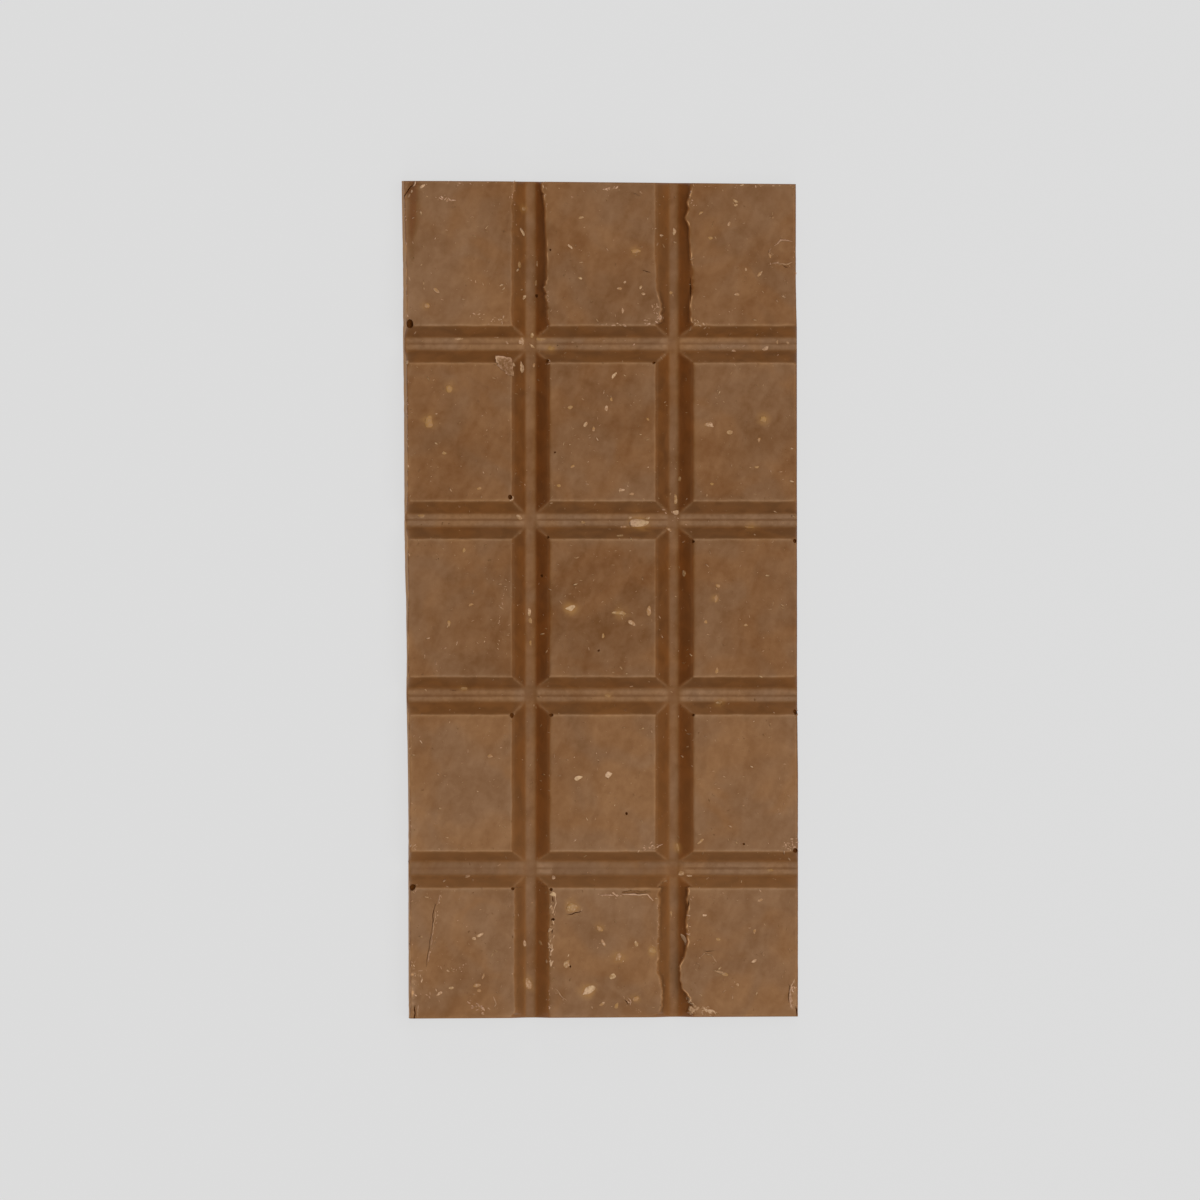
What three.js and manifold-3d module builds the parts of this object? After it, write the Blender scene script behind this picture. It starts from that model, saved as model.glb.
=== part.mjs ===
// A bar of milk chocolate with finely chopped nuts, three squares wide and five long, flat back down.
// Millimetres. +Z is up, +Y runs along the bar, and the origin is the middle of the underside.
import * as THREE from "three";
import { mergeVertices } from "three/addons/utils/BufferGeometryUtils.js";
import Module from "manifold-3d";

const wasm = await Module();
wasm.setup();

// The slab: its box and its rounded edges.
const WIDTH = 75.6;
const LENGTH = 159.5;
const HEIGHT = 7.5;
const RIM_ROUND = 0.4;
const BACK_ROUND = 0.35;

// How far each side leans in from the underside to the top, and how far it stands in from the box at some
// places along it, as the bar came out a little skewed.
const SIDES = {
  left: {
    lean: [[80, 1], [0, 0.9], [-30, 0.6], [-80, 0.55]],
    standsIn: [[80, 0], [61, 0.3], [50, 0.28], [33, 0.48], [15, 0.53], [8, 0.6], [-1, 0.86], [-10, 1],
      [-18, 0.92], [-27, 1.12], [-36, 1.27], [-80, 1.36]],
  },
  right: {
    lean: [[80, 0.25], [-80, 0.25]],
    standsIn: [[80, 0.4], [60, 0.4], [52, 0.22], [15, 0.18], [-20, 0.16], [-33, 0], [-80, 0]],
  },
  back: { lean: [[38, 0.35], [-38, 0.35]], standsIn: [[38, 0.62], [-20, 0.08], [-38, 0]] },
  front: { lean: [[38, 0.25], [-38, 0.25]], standsIn: [[38, 0.4], [-38, 0]] },
};

// The grooves between the squares: the place of the middle, the width, where the floor starts and ends
// beside the middle, and on a cross groove where a fine crease runs along the floor.
const LONG_GROOVES = [
  { middle: -13.07, width: 7.2, floor: [-1.04, 0.87], cove: 0.12 },
  { middle: 14.18, width: 7.25, floor: [-0.98, 0.77], cove: 0.12 },
];
const CROSS_GROOVES = [
  { middle: -51.28, width: 6.9, floor: [-1.17, 1.5], cove: 0.06, crease: 0.16 },
  { middle: -18.28, width: 7.15, floor: [-1.15, 1.46], cove: 0.06, crease: 0 },
  { middle: 15.05, width: 7.15, floor: [-1.34, 1.26], cove: 0.06, crease: 0.1 },
  { middle: 48.4, width: 7, floor: [-1.15, 1.4], cove: 0.06, crease: 0.25 },
];
const GROOVE = { depth: 4, fillet: 0.5, arris: 0.5, coveEnd: 1.2 };
const CREASE = { half: 0.35, depth: 0.1 };

// Mesh lines: over a groove's wall as shares of it, beyond its arris, in from a rim, and the longest steps
// between them on the squares.
const WALL_STATIONS = [0, 0.86, 1];
const BEYOND_ARRIS = 0.35;
const RIM_STATIONS = [0, 0.14, 0.4, 0.7, 1.8, 2.9];
const SQUARE_STEP = 8;
const END_ROW_STEP = 1.3;

// The squares are slightly uneven: low waves, and one corner that slumps towards its side.
const WAVE = { height: 0.05, across: 11, along: 17 };
const SLUMP = { drop: 2, from: 63, to: 74, narrow: 1.4, wide: 3, end: 78, ledge: 0.2 };

// Ragged lips, where chocolate stands over a long groove: the groove, the side of it (-1 left, 1 right),
// and how far the lip reaches in at some places along the bar.
const LIP_ROUGHNESS = { size: 0.2, slow: 2.3, quick: 4.1 };
const LIPS = [
  { groove: 0, side: 1, reach: [[79.7, 1.3], [78.6, 1.4], [76.2, 1.13], [74.4, 0.77], [70.8, 0.68],
    [67.3, 0.51], [63.8, 0.38], [61.1, 0.59], [59.2, 0.82], [58.1, 0.5], [55.3, 0.32], [52.4, 0.15]] },
  { groove: 1, side: 1, reach: [[79.7, 0.44], [77.4, 0.61], [76.1, 0.97], [74.7, 0.8], [72.8, 1.54],
    [71.9, 0.97], [70.8, 0.71], [64.7, 0.35], [62.9, 0.12], [59.3, 0.08], [55.8, 0.53], [52.4, 0.4]] },
  { groove: 0, side: -1, reach: [[79.7, 0.65], [78.6, 0.55], [77, 0.2], [75, 0.05], [52.4, 0]] },
  { groove: 1, side: -1, reach: [[64.7, 0], [60.2, 0.28], [56.7, 0.85], [54, 0.9], [52.4, 0.8]] },
  { groove: 1, side: 1, reach: [[-54.6, 0.7], [-57.6, 1.24], [-59.7, 0.92], [-62.3, 1.18], [-65.3, 0.92],
    [-67.7, 1.57], [-69.8, 2.4], [-72, 2.35], [-74.1, 2.1], [-75.9, 0.9], [-77.4, 0.3], [-79.1, 1]] },
  { groove: 1, side: -1, reach: [[-54.6, 0.75], [-61.4, 0.63], [-65.3, 0.42], [-70.9, 0.31], [-72.6, 0.85],
    [-74.1, 1.25], [-76.3, 1.25], [-79.1, 0.75]] },
  { groove: 0, side: -1, reach: [[-55.1, 0.45], [-79, 0.55]] },
  { groove: 0, side: 1, reach: [[-55.1, 0.15], [-79, 0.15]] },
];

// Burst air bubbles, each as X, Y, its size in X and its size in Y.
const BUBBLES = [
  [-36, 52.2, 1.2, 1.7],
  [-35.4, -54.5, 1.25, 1.45],
  [-17, 19.4, 0.8, 0.9],
  [-10, 45.2, 0.8, 0.8],
  [-16.7, -22, 0.8, 0.95],
  [-9.2, -21.9, 0.8, 0.7],
  [37.1, -21.3, 0.8, 1.5],
  [37.1, -47.6, 0.95, 0.95],
];

// The largest pieces of nut, each as X, Y, its length, its width and the turn of its length from +X.
const NUTS = [
  [7.4, 14.6, 3.2, 1.5, 8],
  [-5.5, -1.6, 1.9, 1.3, 20],
  [-4, -33.9, 1.3, 0.9, 10],
  [1.7, -33.3, 1.3, 1.2, 60],
  [-2.1, -74.2, 1.9, 1.2, 35],
  [20.9, 33.1, 1.9, 1.1, 10],
  [-32.3, 33.7, 2.5, 1.9, 75],
  [-28.6, 40, 1.7, 1.5, 90],
  [-5.3, -58.3, 2.1, 1.7, 40],
  [-6, -69.4, 1.5, 1.3, 60],
  [6.8, 66.1, 2.3, 0.9, 5],
  [-32.8, 55.7, 1.2, 1.1, 0],
  [-14.8, 44.3, 2.3, 0.9, 95],
  [-14.9, 48.9, 1.7, 0.9, 80],
  [14.4, 18.7, 2.3, 0.9, 95],
  [14.5, 16.6, 1.1, 1.1, 0],
  [-13.6, -73, 2.1, 1.3, 110],
  [-14.3, -65.3, 1.3, 0.9, 110],
  [3.8, -2.6, 3, 0.8, 0],
  [6.1, -4.5, 1.5, 0.8, -35],
  [9.4, -2.1, 1.9, 0.9, 80],
  [31, 34.1, 1.7, 1.3, 0],
  [22, 0.2, 1.5, 0.8, 85],
  [-25.8, -16.9, 1.3, 1.1, 0],
  [22.7, -19.6, 1.7, 0.8, 30],
  [1.6, -18.3, 1.5, 0.9, -30],
  [14.8, -47.1, 1.9, 0.8, 110],
  [15.4, -52.1, 1.2, 1.1, 0],
  [-25.2, -52.6, 1.5, 0.8, 35],
  [-26.8, 49.6, 1.5, 0.7, 5],
  [31.5, 47.7, 1.3, 0.8, 30],
  [-15.4, 15.7, 1.3, 0.8, -40],
  [28.5, 13.8, 2.7, 0.8, 5],
  [-13.4, -2.4, 1.3, 0.8, 90],
  [16, -64.3, 1.7, 0.9, 118],
  [4.1, 20.8, 1.1, 0.8, 0],
  [1.2, 36.2, 1.1, 0.8, 75],
  [2.7, 42.4, 1.5, 0.6, 50],
  [-22.7, -63.6, 1.3, 0.7, 25],
  [2.6, -71.6, 1.1, 0.9, 30],
  [-23.3, -73.1, 1.5, 1.1, 0],
  [-30.4, -74.7, 1.5, 0.6, 30],
  [23.5, -71.1, 1.7, 0.7, -20],
];

// Scraps of broken chocolate at the slumped corner, in the same terms.
const SCRAPS = [
  [-35.6, 77.8, 3, 0.8, 64],
  [-33.6, 78.4, 1, 0.7, 40],
];

// A flake that broke and tilted up at the corner of one square: X, Y and height above the squares, round
// its edge.
const FLAKE = [
  [-19.6, 46.2, 0.42], [-18.3, 46.05, 0.4], [-17, 45.7, 0.36], [-16.45, 44.7, 0.22], [-16.4, 43.5, 0.1],
  [-16.35, 42.4, 0.03], [-16.9, 42.5, 0.04], [-17.7, 43, 0.1], [-18.7, 43.6, 0.16], [-19.4, 44.3, 0.2],
  [-19.7, 45.3, 0.32],
];
const FLAKE_THICKNESS = 0.9;

// How thick a scrap or nut is, and how deep its middle lies, both as shares of its width.
const PIECE = { thickness: 0.35, sunk: 0.14, jitter: 0.22 };
const BUBBLE_SUNK = 0.25;
const CHOCOLATE = { color: 0x7b5638, roughness: 0.55, metalness: 0 };

const half = { x: WIDTH / 2, y: LENGTH / 2 };
const SHORTEST_EDGE = 0.004;
const firstSeed = 11;
const settlingSteps = 8;

function seededRandom(seed) {
  const random = () => THREE.MathUtils.seededRandom();
  THREE.MathUtils.seededRandom(seed);
  return random;
}

// The smaller of two lengths, with the corner between them rounded over a reach.
function softMin(a, b, reach) {
  const near = Math.max(reach - Math.abs(a - b), 0) / reach;
  return Math.min(a, b) - (near * near * reach) / 4;
}

function softMax(a, b, reach) {
  return -softMin(-a, -b, reach);
}

// Distance of a place from a groove's middle, and how far its floor reaches on that side.
function acrossGroove({ middle, floor }, place) {
  const out = place - middle;
  return { out: Math.abs(out), edge: out < 0 ? -floor[0] : floor[1] };
}

// Depth of a groove at a place: sloping walls, a coved floor with a crease, and rounded arrises.
function grooveDepth(groove, place) {
  const { out, edge } = acrossGroove(groove, place);
  const halfWidth = groove.width / 2;
  const wall = (GROOVE.depth * (halfWidth - out)) / (halfWidth - edge);
  const cove = groove.cove * Math.min(out / edge, GROOVE.coveEnd) ** 2;
  const offCrease = Math.abs(place - groove.middle - groove.crease);
  const crease = groove.crease === undefined ? 0 : CREASE.depth * Math.max(0, 1 - offCrease / CREASE.half);
  return softMax(0, softMin(wall, GROOVE.depth - cove + crease, GROOVE.fillet), GROOVE.arris);
}

function groovesDepth(x, y) {
  const long = LONG_GROOVES.map((groove) => grooveDepth(groove, x));
  const cross = CROSS_GROOVES.map((groove) => grooveDepth(groove, y));
  return Math.max(...long, ...cross);
}

// Places of the mesh lines over a groove.
function grooveStations({ middle, width, floor, crease = 0 }) {
  const creaseLines = [-CREASE.half, 0, CREASE.half].map((off) => middle + crease + off);
  const walls = [-1, 1].flatMap((side) => {
    const edge = side < 0 ? -floor[0] : floor[1];
    const stations = WALL_STATIONS.map((share) => THREE.MathUtils.lerp(edge, width / 2, share));
    return [...stations, width / 2 + BEYOND_ARRIS].map((out) => middle + side * out);
  });
  return [...creaseLines, ...walls];
}

// How far the rounded rim drops at a distance from the bar's side.
function rimDrop(distance) {
  const inside = Math.max(RIM_ROUND - distance, 0);
  return RIM_ROUND - Math.sqrt(RIM_ROUND ** 2 - inside ** 2);
}

function wave(x, y) {
  const [one, other] = [x / WAVE.across + y / WAVE.along, x / WAVE.along - y / WAVE.across];
  return WAVE.height * Math.sin(one) * Math.cos(other);
}

function slump(x, y) {
  const share = THREE.MathUtils.smoothstep(y, SLUMP.from, SLUMP.to);
  const along = THREE.MathUtils.clamp((y - SLUMP.from) / (SLUMP.end - SLUMP.from), 0, 1);
  const reach = THREE.MathUtils.lerp(SLUMP.narrow, SLUMP.wide, along);
  return SLUMP.drop * share * (1 - THREE.MathUtils.smoothstep((x + half.x) / reach, SLUMP.ledge, 1));
}

// Height of the bar at a place given by its undistorted X and Y.
function surfaceHeight(x, y) {
  const rim = rimDrop(half.x - Math.abs(x)) + rimDrop(half.y - Math.abs(y));
  return HEIGHT - groovesDepth(x, y) - rim - slump(x, y) - WAVE.height + wave(x, y);
}

// A value between those listed for two places, where the places run down from the first.
function between(list, place) {
  const next = list.findIndex(([at]) => at <= place);
  if (next < 1) return next === 0 ? list[0][1] : list.at(-1)[1];
  const [[fromPlace, from], [toPlace, to]] = [list[next - 1], list[next]];
  return THREE.MathUtils.lerp(from, to, (place - fromPlace) / (toPlace - fromPlace));
}

// Small steps in and out along a lip.
function roughness(place, phase) {
  const slow = Math.sin(place * LIP_ROUGHNESS.slow + phase);
  const quick = Math.sin(place * LIP_ROUGHNESS.quick + 2 * phase);
  return (LIP_ROUGHNESS.size * (slow + quick)) / 2;
}

// How far the lips move the surface in X at a place: nothing on the floor, all of it at the arris.
function lipShift(x, y) {
  let shift = 0;
  LIPS.forEach(({ groove, side, reach }, index) => {
    const { middle, width } = LONG_GROOVES[groove];
    const { out, edge } = acrossGroove(LONG_GROOVES[groove], x);
    if (side * (x - middle) < 0 || y > reach[0][0] || y < reach.at(-1)[0]) return;
    const rise = THREE.MathUtils.smoothstep(out, edge, width / 2);
    const fall = 1 - THREE.MathUtils.smoothstep(out, width / 2, width);
    shift -= side * (between(reach, y) + roughness(y, index)) * rise * fall;
  });
  return shift;
}

// The share of the outer columns' or rows' width at which a place lies, from their groove (0) to the
// side (1).
function outerShare(place, halfSize, grooves) {
  const [first, last] = [grooves[0], grooves.at(-1)];
  const inner = place < 0 ? first.middle - first.width / 2 : last.middle + last.width / 2;
  const outer = place < 0 ? -halfSize : halfSize;
  return Math.max(0, (place - inner) / (outer - inner));
}

// How far a side stands in at a place along it and at a height.
function sideShift({ lean, standsIn }, along, z) {
  return between(standsIn, along) + (between(lean, along) * z) / HEIGHT;
}

// Where a point of the undistorted box really is, once the bar is skewed, its sides lean and its lips
// stand.
function placed(x, y, z) {
  const inX = x < 0 ? sideShift(SIDES.left, y, z) : -sideShift(SIDES.right, y, z);
  const inY = y < 0 ? sideShift(SIDES.front, x, z) : -sideShift(SIDES.back, x, z);
  const shiftX = outerShare(x, half.x, LONG_GROOVES) * inX + lipShift(x, y);
  return new THREE.Vector3(x + shiftX, y + outerShare(y, half.y, CROSS_GROOVES) * inY, z);
}

// The undistorted X and Y of a place on the finished bar.
function undistorted(x, y) {
  const from = { x, y };
  for (let i = 0; i < settlingSteps; i++) {
    const point = placed(from.x, from.y, surfaceHeight(from.x, from.y));
    from.x = THREE.MathUtils.clamp(from.x + x - point.x, -half.x, half.x);
    from.y = THREE.MathUtils.clamp(from.y + y - point.y, -half.y, half.y);
  }
  return from;
}

// Mesh lines across the bar in one direction: at the rims, at each groove's stations, and between them.
function meshLines(halfSize, grooves, stepAt) {
  const rims = RIM_STATIONS.flatMap((inset) => [inset - halfSize, halfSize - inset]);
  const fixed = [...new Set([...rims, ...grooves.flatMap(grooveStations)])].sort((a, b) => a - b);
  const lines = [];
  for (let i = 0; i < fixed.length - 1; i++) {
    const gap = fixed[i + 1] - fixed[i];
    const parts = Math.max(1, Math.round(gap / stepAt(fixed[i])));
    for (let k = 0; k < parts; k++) lines.push(fixed[i] + (gap * k) / parts);
  }
  return [...lines, halfSize];
}

function endRowStep(y) {
  const inEndRow = y < CROSS_GROOVES[0].middle || y > CROSS_GROOVES.at(-1).middle;
  return inEndRow ? END_ROW_STEP : SQUARE_STEP;
}

// Whether a cell of the mesh is split from its low corner to its high corner, so that the fold between two
// grooves' walls always runs along an edge.
function splitsUpward(x, y) {
  const nearer = (best, off) => (Math.abs(off) < Math.abs(best) ? off : best);
  const offNearest = (grooves, place) => grooves.map(({ middle }) => place - middle).reduce(nearer);
  return offNearest(LONG_GROOVES, x) * offNearest(CROSS_GROOVES, y) > 0;
}

// The bar without its bubbles and nuts, as one closed geometry.
function slabGeometry() {
  const across = meshLines(half.x, LONG_GROOVES, () => SQUARE_STEP);
  const along = meshLines(half.y, CROSS_GROOVES, endRowStep);
  const points = [];
  const faces = [];
  const addPoint = (point) => points.push(point) - 1;
  const addQuad = (a, b, c, d) => faces.push(a, b, c, a, c, d);

  const top = along.map((y) => across.map((x) => addPoint(placed(x, y, surfaceHeight(x, y)))));
  for (let j = 0; j < along.length - 1; j++) {
    for (let i = 0; i < across.length - 1; i++) {
      const corners = [top[j][i], top[j][i + 1], top[j + 1][i + 1], top[j + 1][i]];
      const middle = [(across[i] + across[i + 1]) / 2, (along[j] + along[j + 1]) / 2];
      if (!splitsUpward(...middle)) corners.push(corners.shift());
      addQuad(...corners);
    }
  }

  // The sides and the rounded lower edge run round the bar, and a fan closes the flat back.
  const last = { i: across.length - 1, j: along.length - 1 };
  const ring = [
    ...across.map((x, i) => ({ x, y: along[0], index: top[0][i] })),
    ...along.slice(1).map((y, j) => ({ x: across[last.i], y, index: top[j + 1][last.i] })),
    ...across
      .slice(0, -1)
      .reverse()
      .map((x, i) => ({ x, y: along[last.j], index: top[last.j][last.i - 1 - i] })),
    ...along
      .slice(1, -1)
      .reverse()
      .map((y, j) => ({ x: across[0], y, index: top[last.j - 1 - j][0] })),
  ];
  const inset = (place, halfSize) =>
    THREE.MathUtils.clamp(place, BACK_ROUND - halfSize, halfSize - BACK_ROUND);
  const edge = ring.map(({ x, y }) => addPoint(placed(x, y, 0).setZ(BACK_ROUND)));
  const foot = ring.map(({ x, y }) => addPoint(placed(inset(x, half.x), inset(y, half.y), 0)));
  const centre = addPoint(new THREE.Vector3());
  ring.forEach(({ index }, k) => {
    const next = (k + 1) % ring.length;
    addQuad(index, edge[k], edge[next], ring[next].index);
    addQuad(edge[k], foot[k], foot[next], edge[next]);
    faces.push(foot[k], centre, foot[next]);
  });

  const geometry = new THREE.BufferGeometry().setFromPoints(points);
  geometry.setIndex(faces);
  return geometry;
}

function solidFrom(geometry) {
  const bare = geometry.clone();
  bare.deleteAttribute("normal");
  bare.deleteAttribute("uv");
  const merged = mergeVertices(bare);
  const vertProperties = merged.attributes.position.array;
  const triVerts = new Uint32Array(merged.index.array);
  return new wasm.Manifold(new wasm.Mesh({ numProp: 3, vertProperties, triVerts }));
}

function geometryFrom(solid) {
  const { vertProperties, triVerts } = solid.getMesh();
  const geometry = new THREE.BufferGeometry();
  geometry.setAttribute("position", new THREE.BufferAttribute(vertProperties, 3));
  geometry.setIndex(new THREE.BufferAttribute(triVerts, 1));
  geometry.computeVertexNormals();
  return geometry;
}

// A frame that lies on the surface at a place, turned about its normal and sunk below the surface.
function lyingOnSurface(placeX, placeY, turnDegrees, sunk) {
  const step = 0.1;
  const { x, y } = undistorted(placeX, placeY);
  const point = placed(x, y, surfaceHeight(x, y));
  const slopeX = (surfaceHeight(x + step, y) - surfaceHeight(x - step, y)) / (2 * step);
  const slopeY = (surfaceHeight(x, y + step) - surfaceHeight(x, y - step)) / (2 * step);
  const normal = new THREE.Vector3(-slopeX, -slopeY, 1).normalize();
  const tilt = new THREE.Quaternion().setFromUnitVectors(new THREE.Vector3(0, 0, 1), normal);
  const turn = new THREE.Quaternion().setFromAxisAngle(
    new THREE.Vector3(0, 0, 1),
    THREE.MathUtils.degToRad(turnDegrees),
  );
  point.addScaledVector(normal, -sunk);
  return new THREE.Matrix4().compose(point, tilt.multiply(turn), new THREE.Vector3(1, 1, 1));
}

// One irregular, flattened fragment with 20 faces.
function fragment([x, y, length, width, turn], random) {
  const ball = new THREE.IcosahedronGeometry(1, 0).deleteAttribute("normal").deleteAttribute("uv");
  const geometry = mergeVertices(ball);
  const position = geometry.attributes.position;
  const point = new THREE.Vector3();
  for (let i = 0; i < position.count; i++) {
    point.fromBufferAttribute(position, i).multiplyScalar(1 - PIECE.jitter * random());
    position.setXYZ(i, point.x, point.y, point.z);
  }
  geometry.scale(length / 2, width / 2, PIECE.thickness * width);
  return solidFrom(geometry.applyMatrix4(lyingOnSurface(x, y, turn, PIECE.sunk * width)));
}

function bubble([x, y, sizeX, sizeY]) {
  const deep = (sizeX + sizeY) / 4;
  const geometry = new THREE.IcosahedronGeometry(1, 1).scale(sizeX / 2, sizeY / 2, deep);
  return solidFrom(geometry.applyMatrix4(lyingOnSurface(x, y, 0, BUBBLE_SUNK * deep)));
}

// The tilted flake: its outline once at its heights and once below the squares, each closed by a fan.
function flake() {
  const outline = FLAKE.map(([x, y, lift]) => new THREE.Vector3(x, y, HEIGHT + lift));
  const middle = new THREE.Vector3();
  outline.forEach((point) => middle.addScaledVector(point, 1 / outline.length));
  const down = new THREE.Vector3(0, 0, -FLAKE_THICKNESS);
  const rings = [outline, outline.map((point) => point.clone().add(down))];
  const points = [...rings.flat(), middle, middle.clone().add(down)];
  const faces = outline.flatMap((_, k) => {
    const [top, nextTop] = [k, (k + 1) % outline.length];
    const [low, nextLow] = [top + outline.length, nextTop + outline.length];
    const [topMiddle, lowMiddle] = [points.length - 2, points.length - 1];
    return [top, topMiddle, nextTop, low, nextLow, lowMiddle, top, nextTop, nextLow, top, nextLow, low];
  });
  return solidFrom(new THREE.BufferGeometry().setFromPoints(points).setIndex(faces));
}

function chocolateBar() {
  const random = seededRandom(firstSeed);
  let solid = solidFrom(slabGeometry());
  for (const spot of BUBBLES) solid = solid.subtract(bubble(spot));
  for (const spot of [...NUTS, ...SCRAPS]) solid = solid.add(fragment(spot, random));
  solid = solid.add(flake()).asOriginal().simplify(SHORTEST_EDGE);
  const mesh = new THREE.Mesh(geometryFrom(solid), new THREE.MeshStandardMaterial(CHOCOLATE));
  mesh.name = "chocolate_bar";
  return mesh;
}

const bar = new THREE.Group();
bar.add(chocolateBar());

export default bar;
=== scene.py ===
"""The looks of a bar of milk chocolate with finely chopped nuts, built around its CAD model.

Lists and the functions of the form hold millimetres, and MM turns them into Blender's metres.
"""

import functools

import bmesh
import bpy
import numpy as np
from bpy.props import FloatProperty, FloatVectorProperty, IntProperty, PointerProperty
from bpy.types import Operator, Panel, PropertyGroup
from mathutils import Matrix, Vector


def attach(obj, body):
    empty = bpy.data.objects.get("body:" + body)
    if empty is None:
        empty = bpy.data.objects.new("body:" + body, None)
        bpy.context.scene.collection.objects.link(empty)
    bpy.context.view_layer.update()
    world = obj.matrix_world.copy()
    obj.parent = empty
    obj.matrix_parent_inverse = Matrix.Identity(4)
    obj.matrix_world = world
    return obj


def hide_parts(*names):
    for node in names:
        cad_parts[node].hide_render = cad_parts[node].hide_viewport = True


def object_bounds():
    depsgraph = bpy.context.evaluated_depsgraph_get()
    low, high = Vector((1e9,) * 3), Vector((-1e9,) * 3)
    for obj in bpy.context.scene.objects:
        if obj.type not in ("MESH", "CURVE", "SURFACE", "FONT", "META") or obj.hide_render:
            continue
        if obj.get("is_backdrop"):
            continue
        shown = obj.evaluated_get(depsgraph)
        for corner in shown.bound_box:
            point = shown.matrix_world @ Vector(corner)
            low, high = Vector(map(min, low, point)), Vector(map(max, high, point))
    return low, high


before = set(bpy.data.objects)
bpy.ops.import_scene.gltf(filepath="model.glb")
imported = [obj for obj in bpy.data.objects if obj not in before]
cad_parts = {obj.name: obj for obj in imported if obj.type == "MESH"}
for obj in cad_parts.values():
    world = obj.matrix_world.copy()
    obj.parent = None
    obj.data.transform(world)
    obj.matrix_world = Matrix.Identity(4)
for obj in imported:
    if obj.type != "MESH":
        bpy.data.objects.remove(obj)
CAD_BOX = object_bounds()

bl_info = {
    "name": "Nut Chocolate Bar",
    "version": (1, 0, 0),
    "blender": (4, 5, 0),
    "location": "View3D > Sidebar > Chocolate",
    "description": "Builds a moulded bar of milk chocolate with chopped nuts and a plain studio round it",
    "category": "Add Mesh",
}

MM = 0.001
BODY = "root"
BAR_NODE = "chocolate_bar"

# The grooves: the place of the middle, the width, and where the floor starts and ends beside the middle.
# A cross groove also has the place of its crease beside the middle.
LONG_GROOVES = ((-13.07, 7.2, -1.04, 0.87), (14.18, 7.25, -0.98, 0.77))
CROSS_GROOVES = (
    (-51.28, 6.9, -1.17, 1.5, 0.16),
    (-18.28, 7.15, -1.15, 1.46, 0.0),
    (15.05, 7.15, -1.34, 1.26, 0.1),
    (48.4, 7.0, -1.15, 1.4, 0.25),
)
LONG_COVE = 0.12
CROSS_COVE = 0.06
FLOOR_FILLET = 0.5
ARRIS_ROUND = 0.55
MITRE_SHARE = 0.3

# The crease in the floor of the cross grooves, and the stretches where it is missing from the first of them.
CREASE_HALF = 0.3
CREASE_DEPTH = 0.08
CREASE_GAPS = ((-38, -12.3), (-9.5, 16.8))
CREASE_FADE = 0.8

# Distances from the middle of a long groove's floor between which it gives way to a cross groove, and how
# far to the left of the groove's own middle that lies.
CROSSING = (0.8, 1.5)
FLOOR_ASIDE = 0.1

# How far the sides lean in from the underside to the top, and how far each stands in from the box, at places
# along its run.
LEAN = {
    "left": ((-80, 0.5), (-30, 0.5), (-5, 0.45), (3, 0.8), (80, 0.9)),
    "right": ((0, 0.25),),
    "back": ((0, 0.35),),
    "front": ((0, 0.25),),
}
STANDS_IN = {
    "left": (
        (-80, 1.36), (-36, 1.27), (-27, 1.12), (-18, 0.92), (-10, 1), (-1, 0.86), (8, 0.6), (15, 0.53),
        (33, 0.48), (50, 0.28), (61, 0.3), (80, 0),
    ),
    "right": ((-80, 0), (-33, 0), (-20, 0.16), (15, 0.18), (52, 0.22), (60, 0.4), (80, 0.4)),
    "back": ((-38, 0), (-20, 0.08), (38, 0.62)),
    "front": ((-38, 0), (38, 0.4)),
}
BACK_ROUND = 0.35

# Mesh lines over half a groove (0 its middle, 1 the floor's edge, 3 the arris, 4 just beyond), those in from
# a rim, and the steps between them elsewhere.
GROOVE_STATIONS = (
    0, 0.14, 0.32, 0.55, 0.82, 1.05, 1.27, 1.67, 2.17, 2.54, 2.71, 2.83, 2.93, 3.06, 3.25, 3.5, 4,
)
BEYOND_ARRIS = 0.7
RIM_STATIONS = (0, 0.03, 0.09, 0.17, 0.27, 0.4, 0.6)
SQUARE_STEP = 0.62
END_ROW_STEP = 0.3
SIDE_RINGS = 9

# Unevenness, each step with its size and length: the height of the squares, the arrises, the sides, and how
# the left side is rubbed. Random steps repeat after a number of knots, and a shift gives another stretch of
# them.
KNOTS = 512
OTHER_STRETCH = 90
WAVES = ((0.05, 9), (0.014, 1.6))
WANDERS = ((0.045, 2.6), (0.03, 0.8))
SIDE_WANDERS = ((0.05, 3), (0.03, 0.7))
SIDE_BLOTCHES = ((0.12, 2.2), (0.1, 0.8))

# Finding the place on the undistorted box that a place of the bar comes from: rounds, and the share of what
# is still off that each round makes up for. Distances under a hair count as none.
ROUNDS = 8
ROUND_SHARE = 0.8
HAIR = 1e-6

# One corner slumps towards its side, and its tip has broken and dropped.
SLUMP = {"drop": 2, "from": 63, "to": 74, "narrow": 1.4, "wide": 3, "end": 78, "ledge": 0.2}
TIP = {"x": -35.4, "y": 79, "across": 2.1, "along": 2.6, "drop": 0.3, "step": (0.9, 1.1)}

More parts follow.
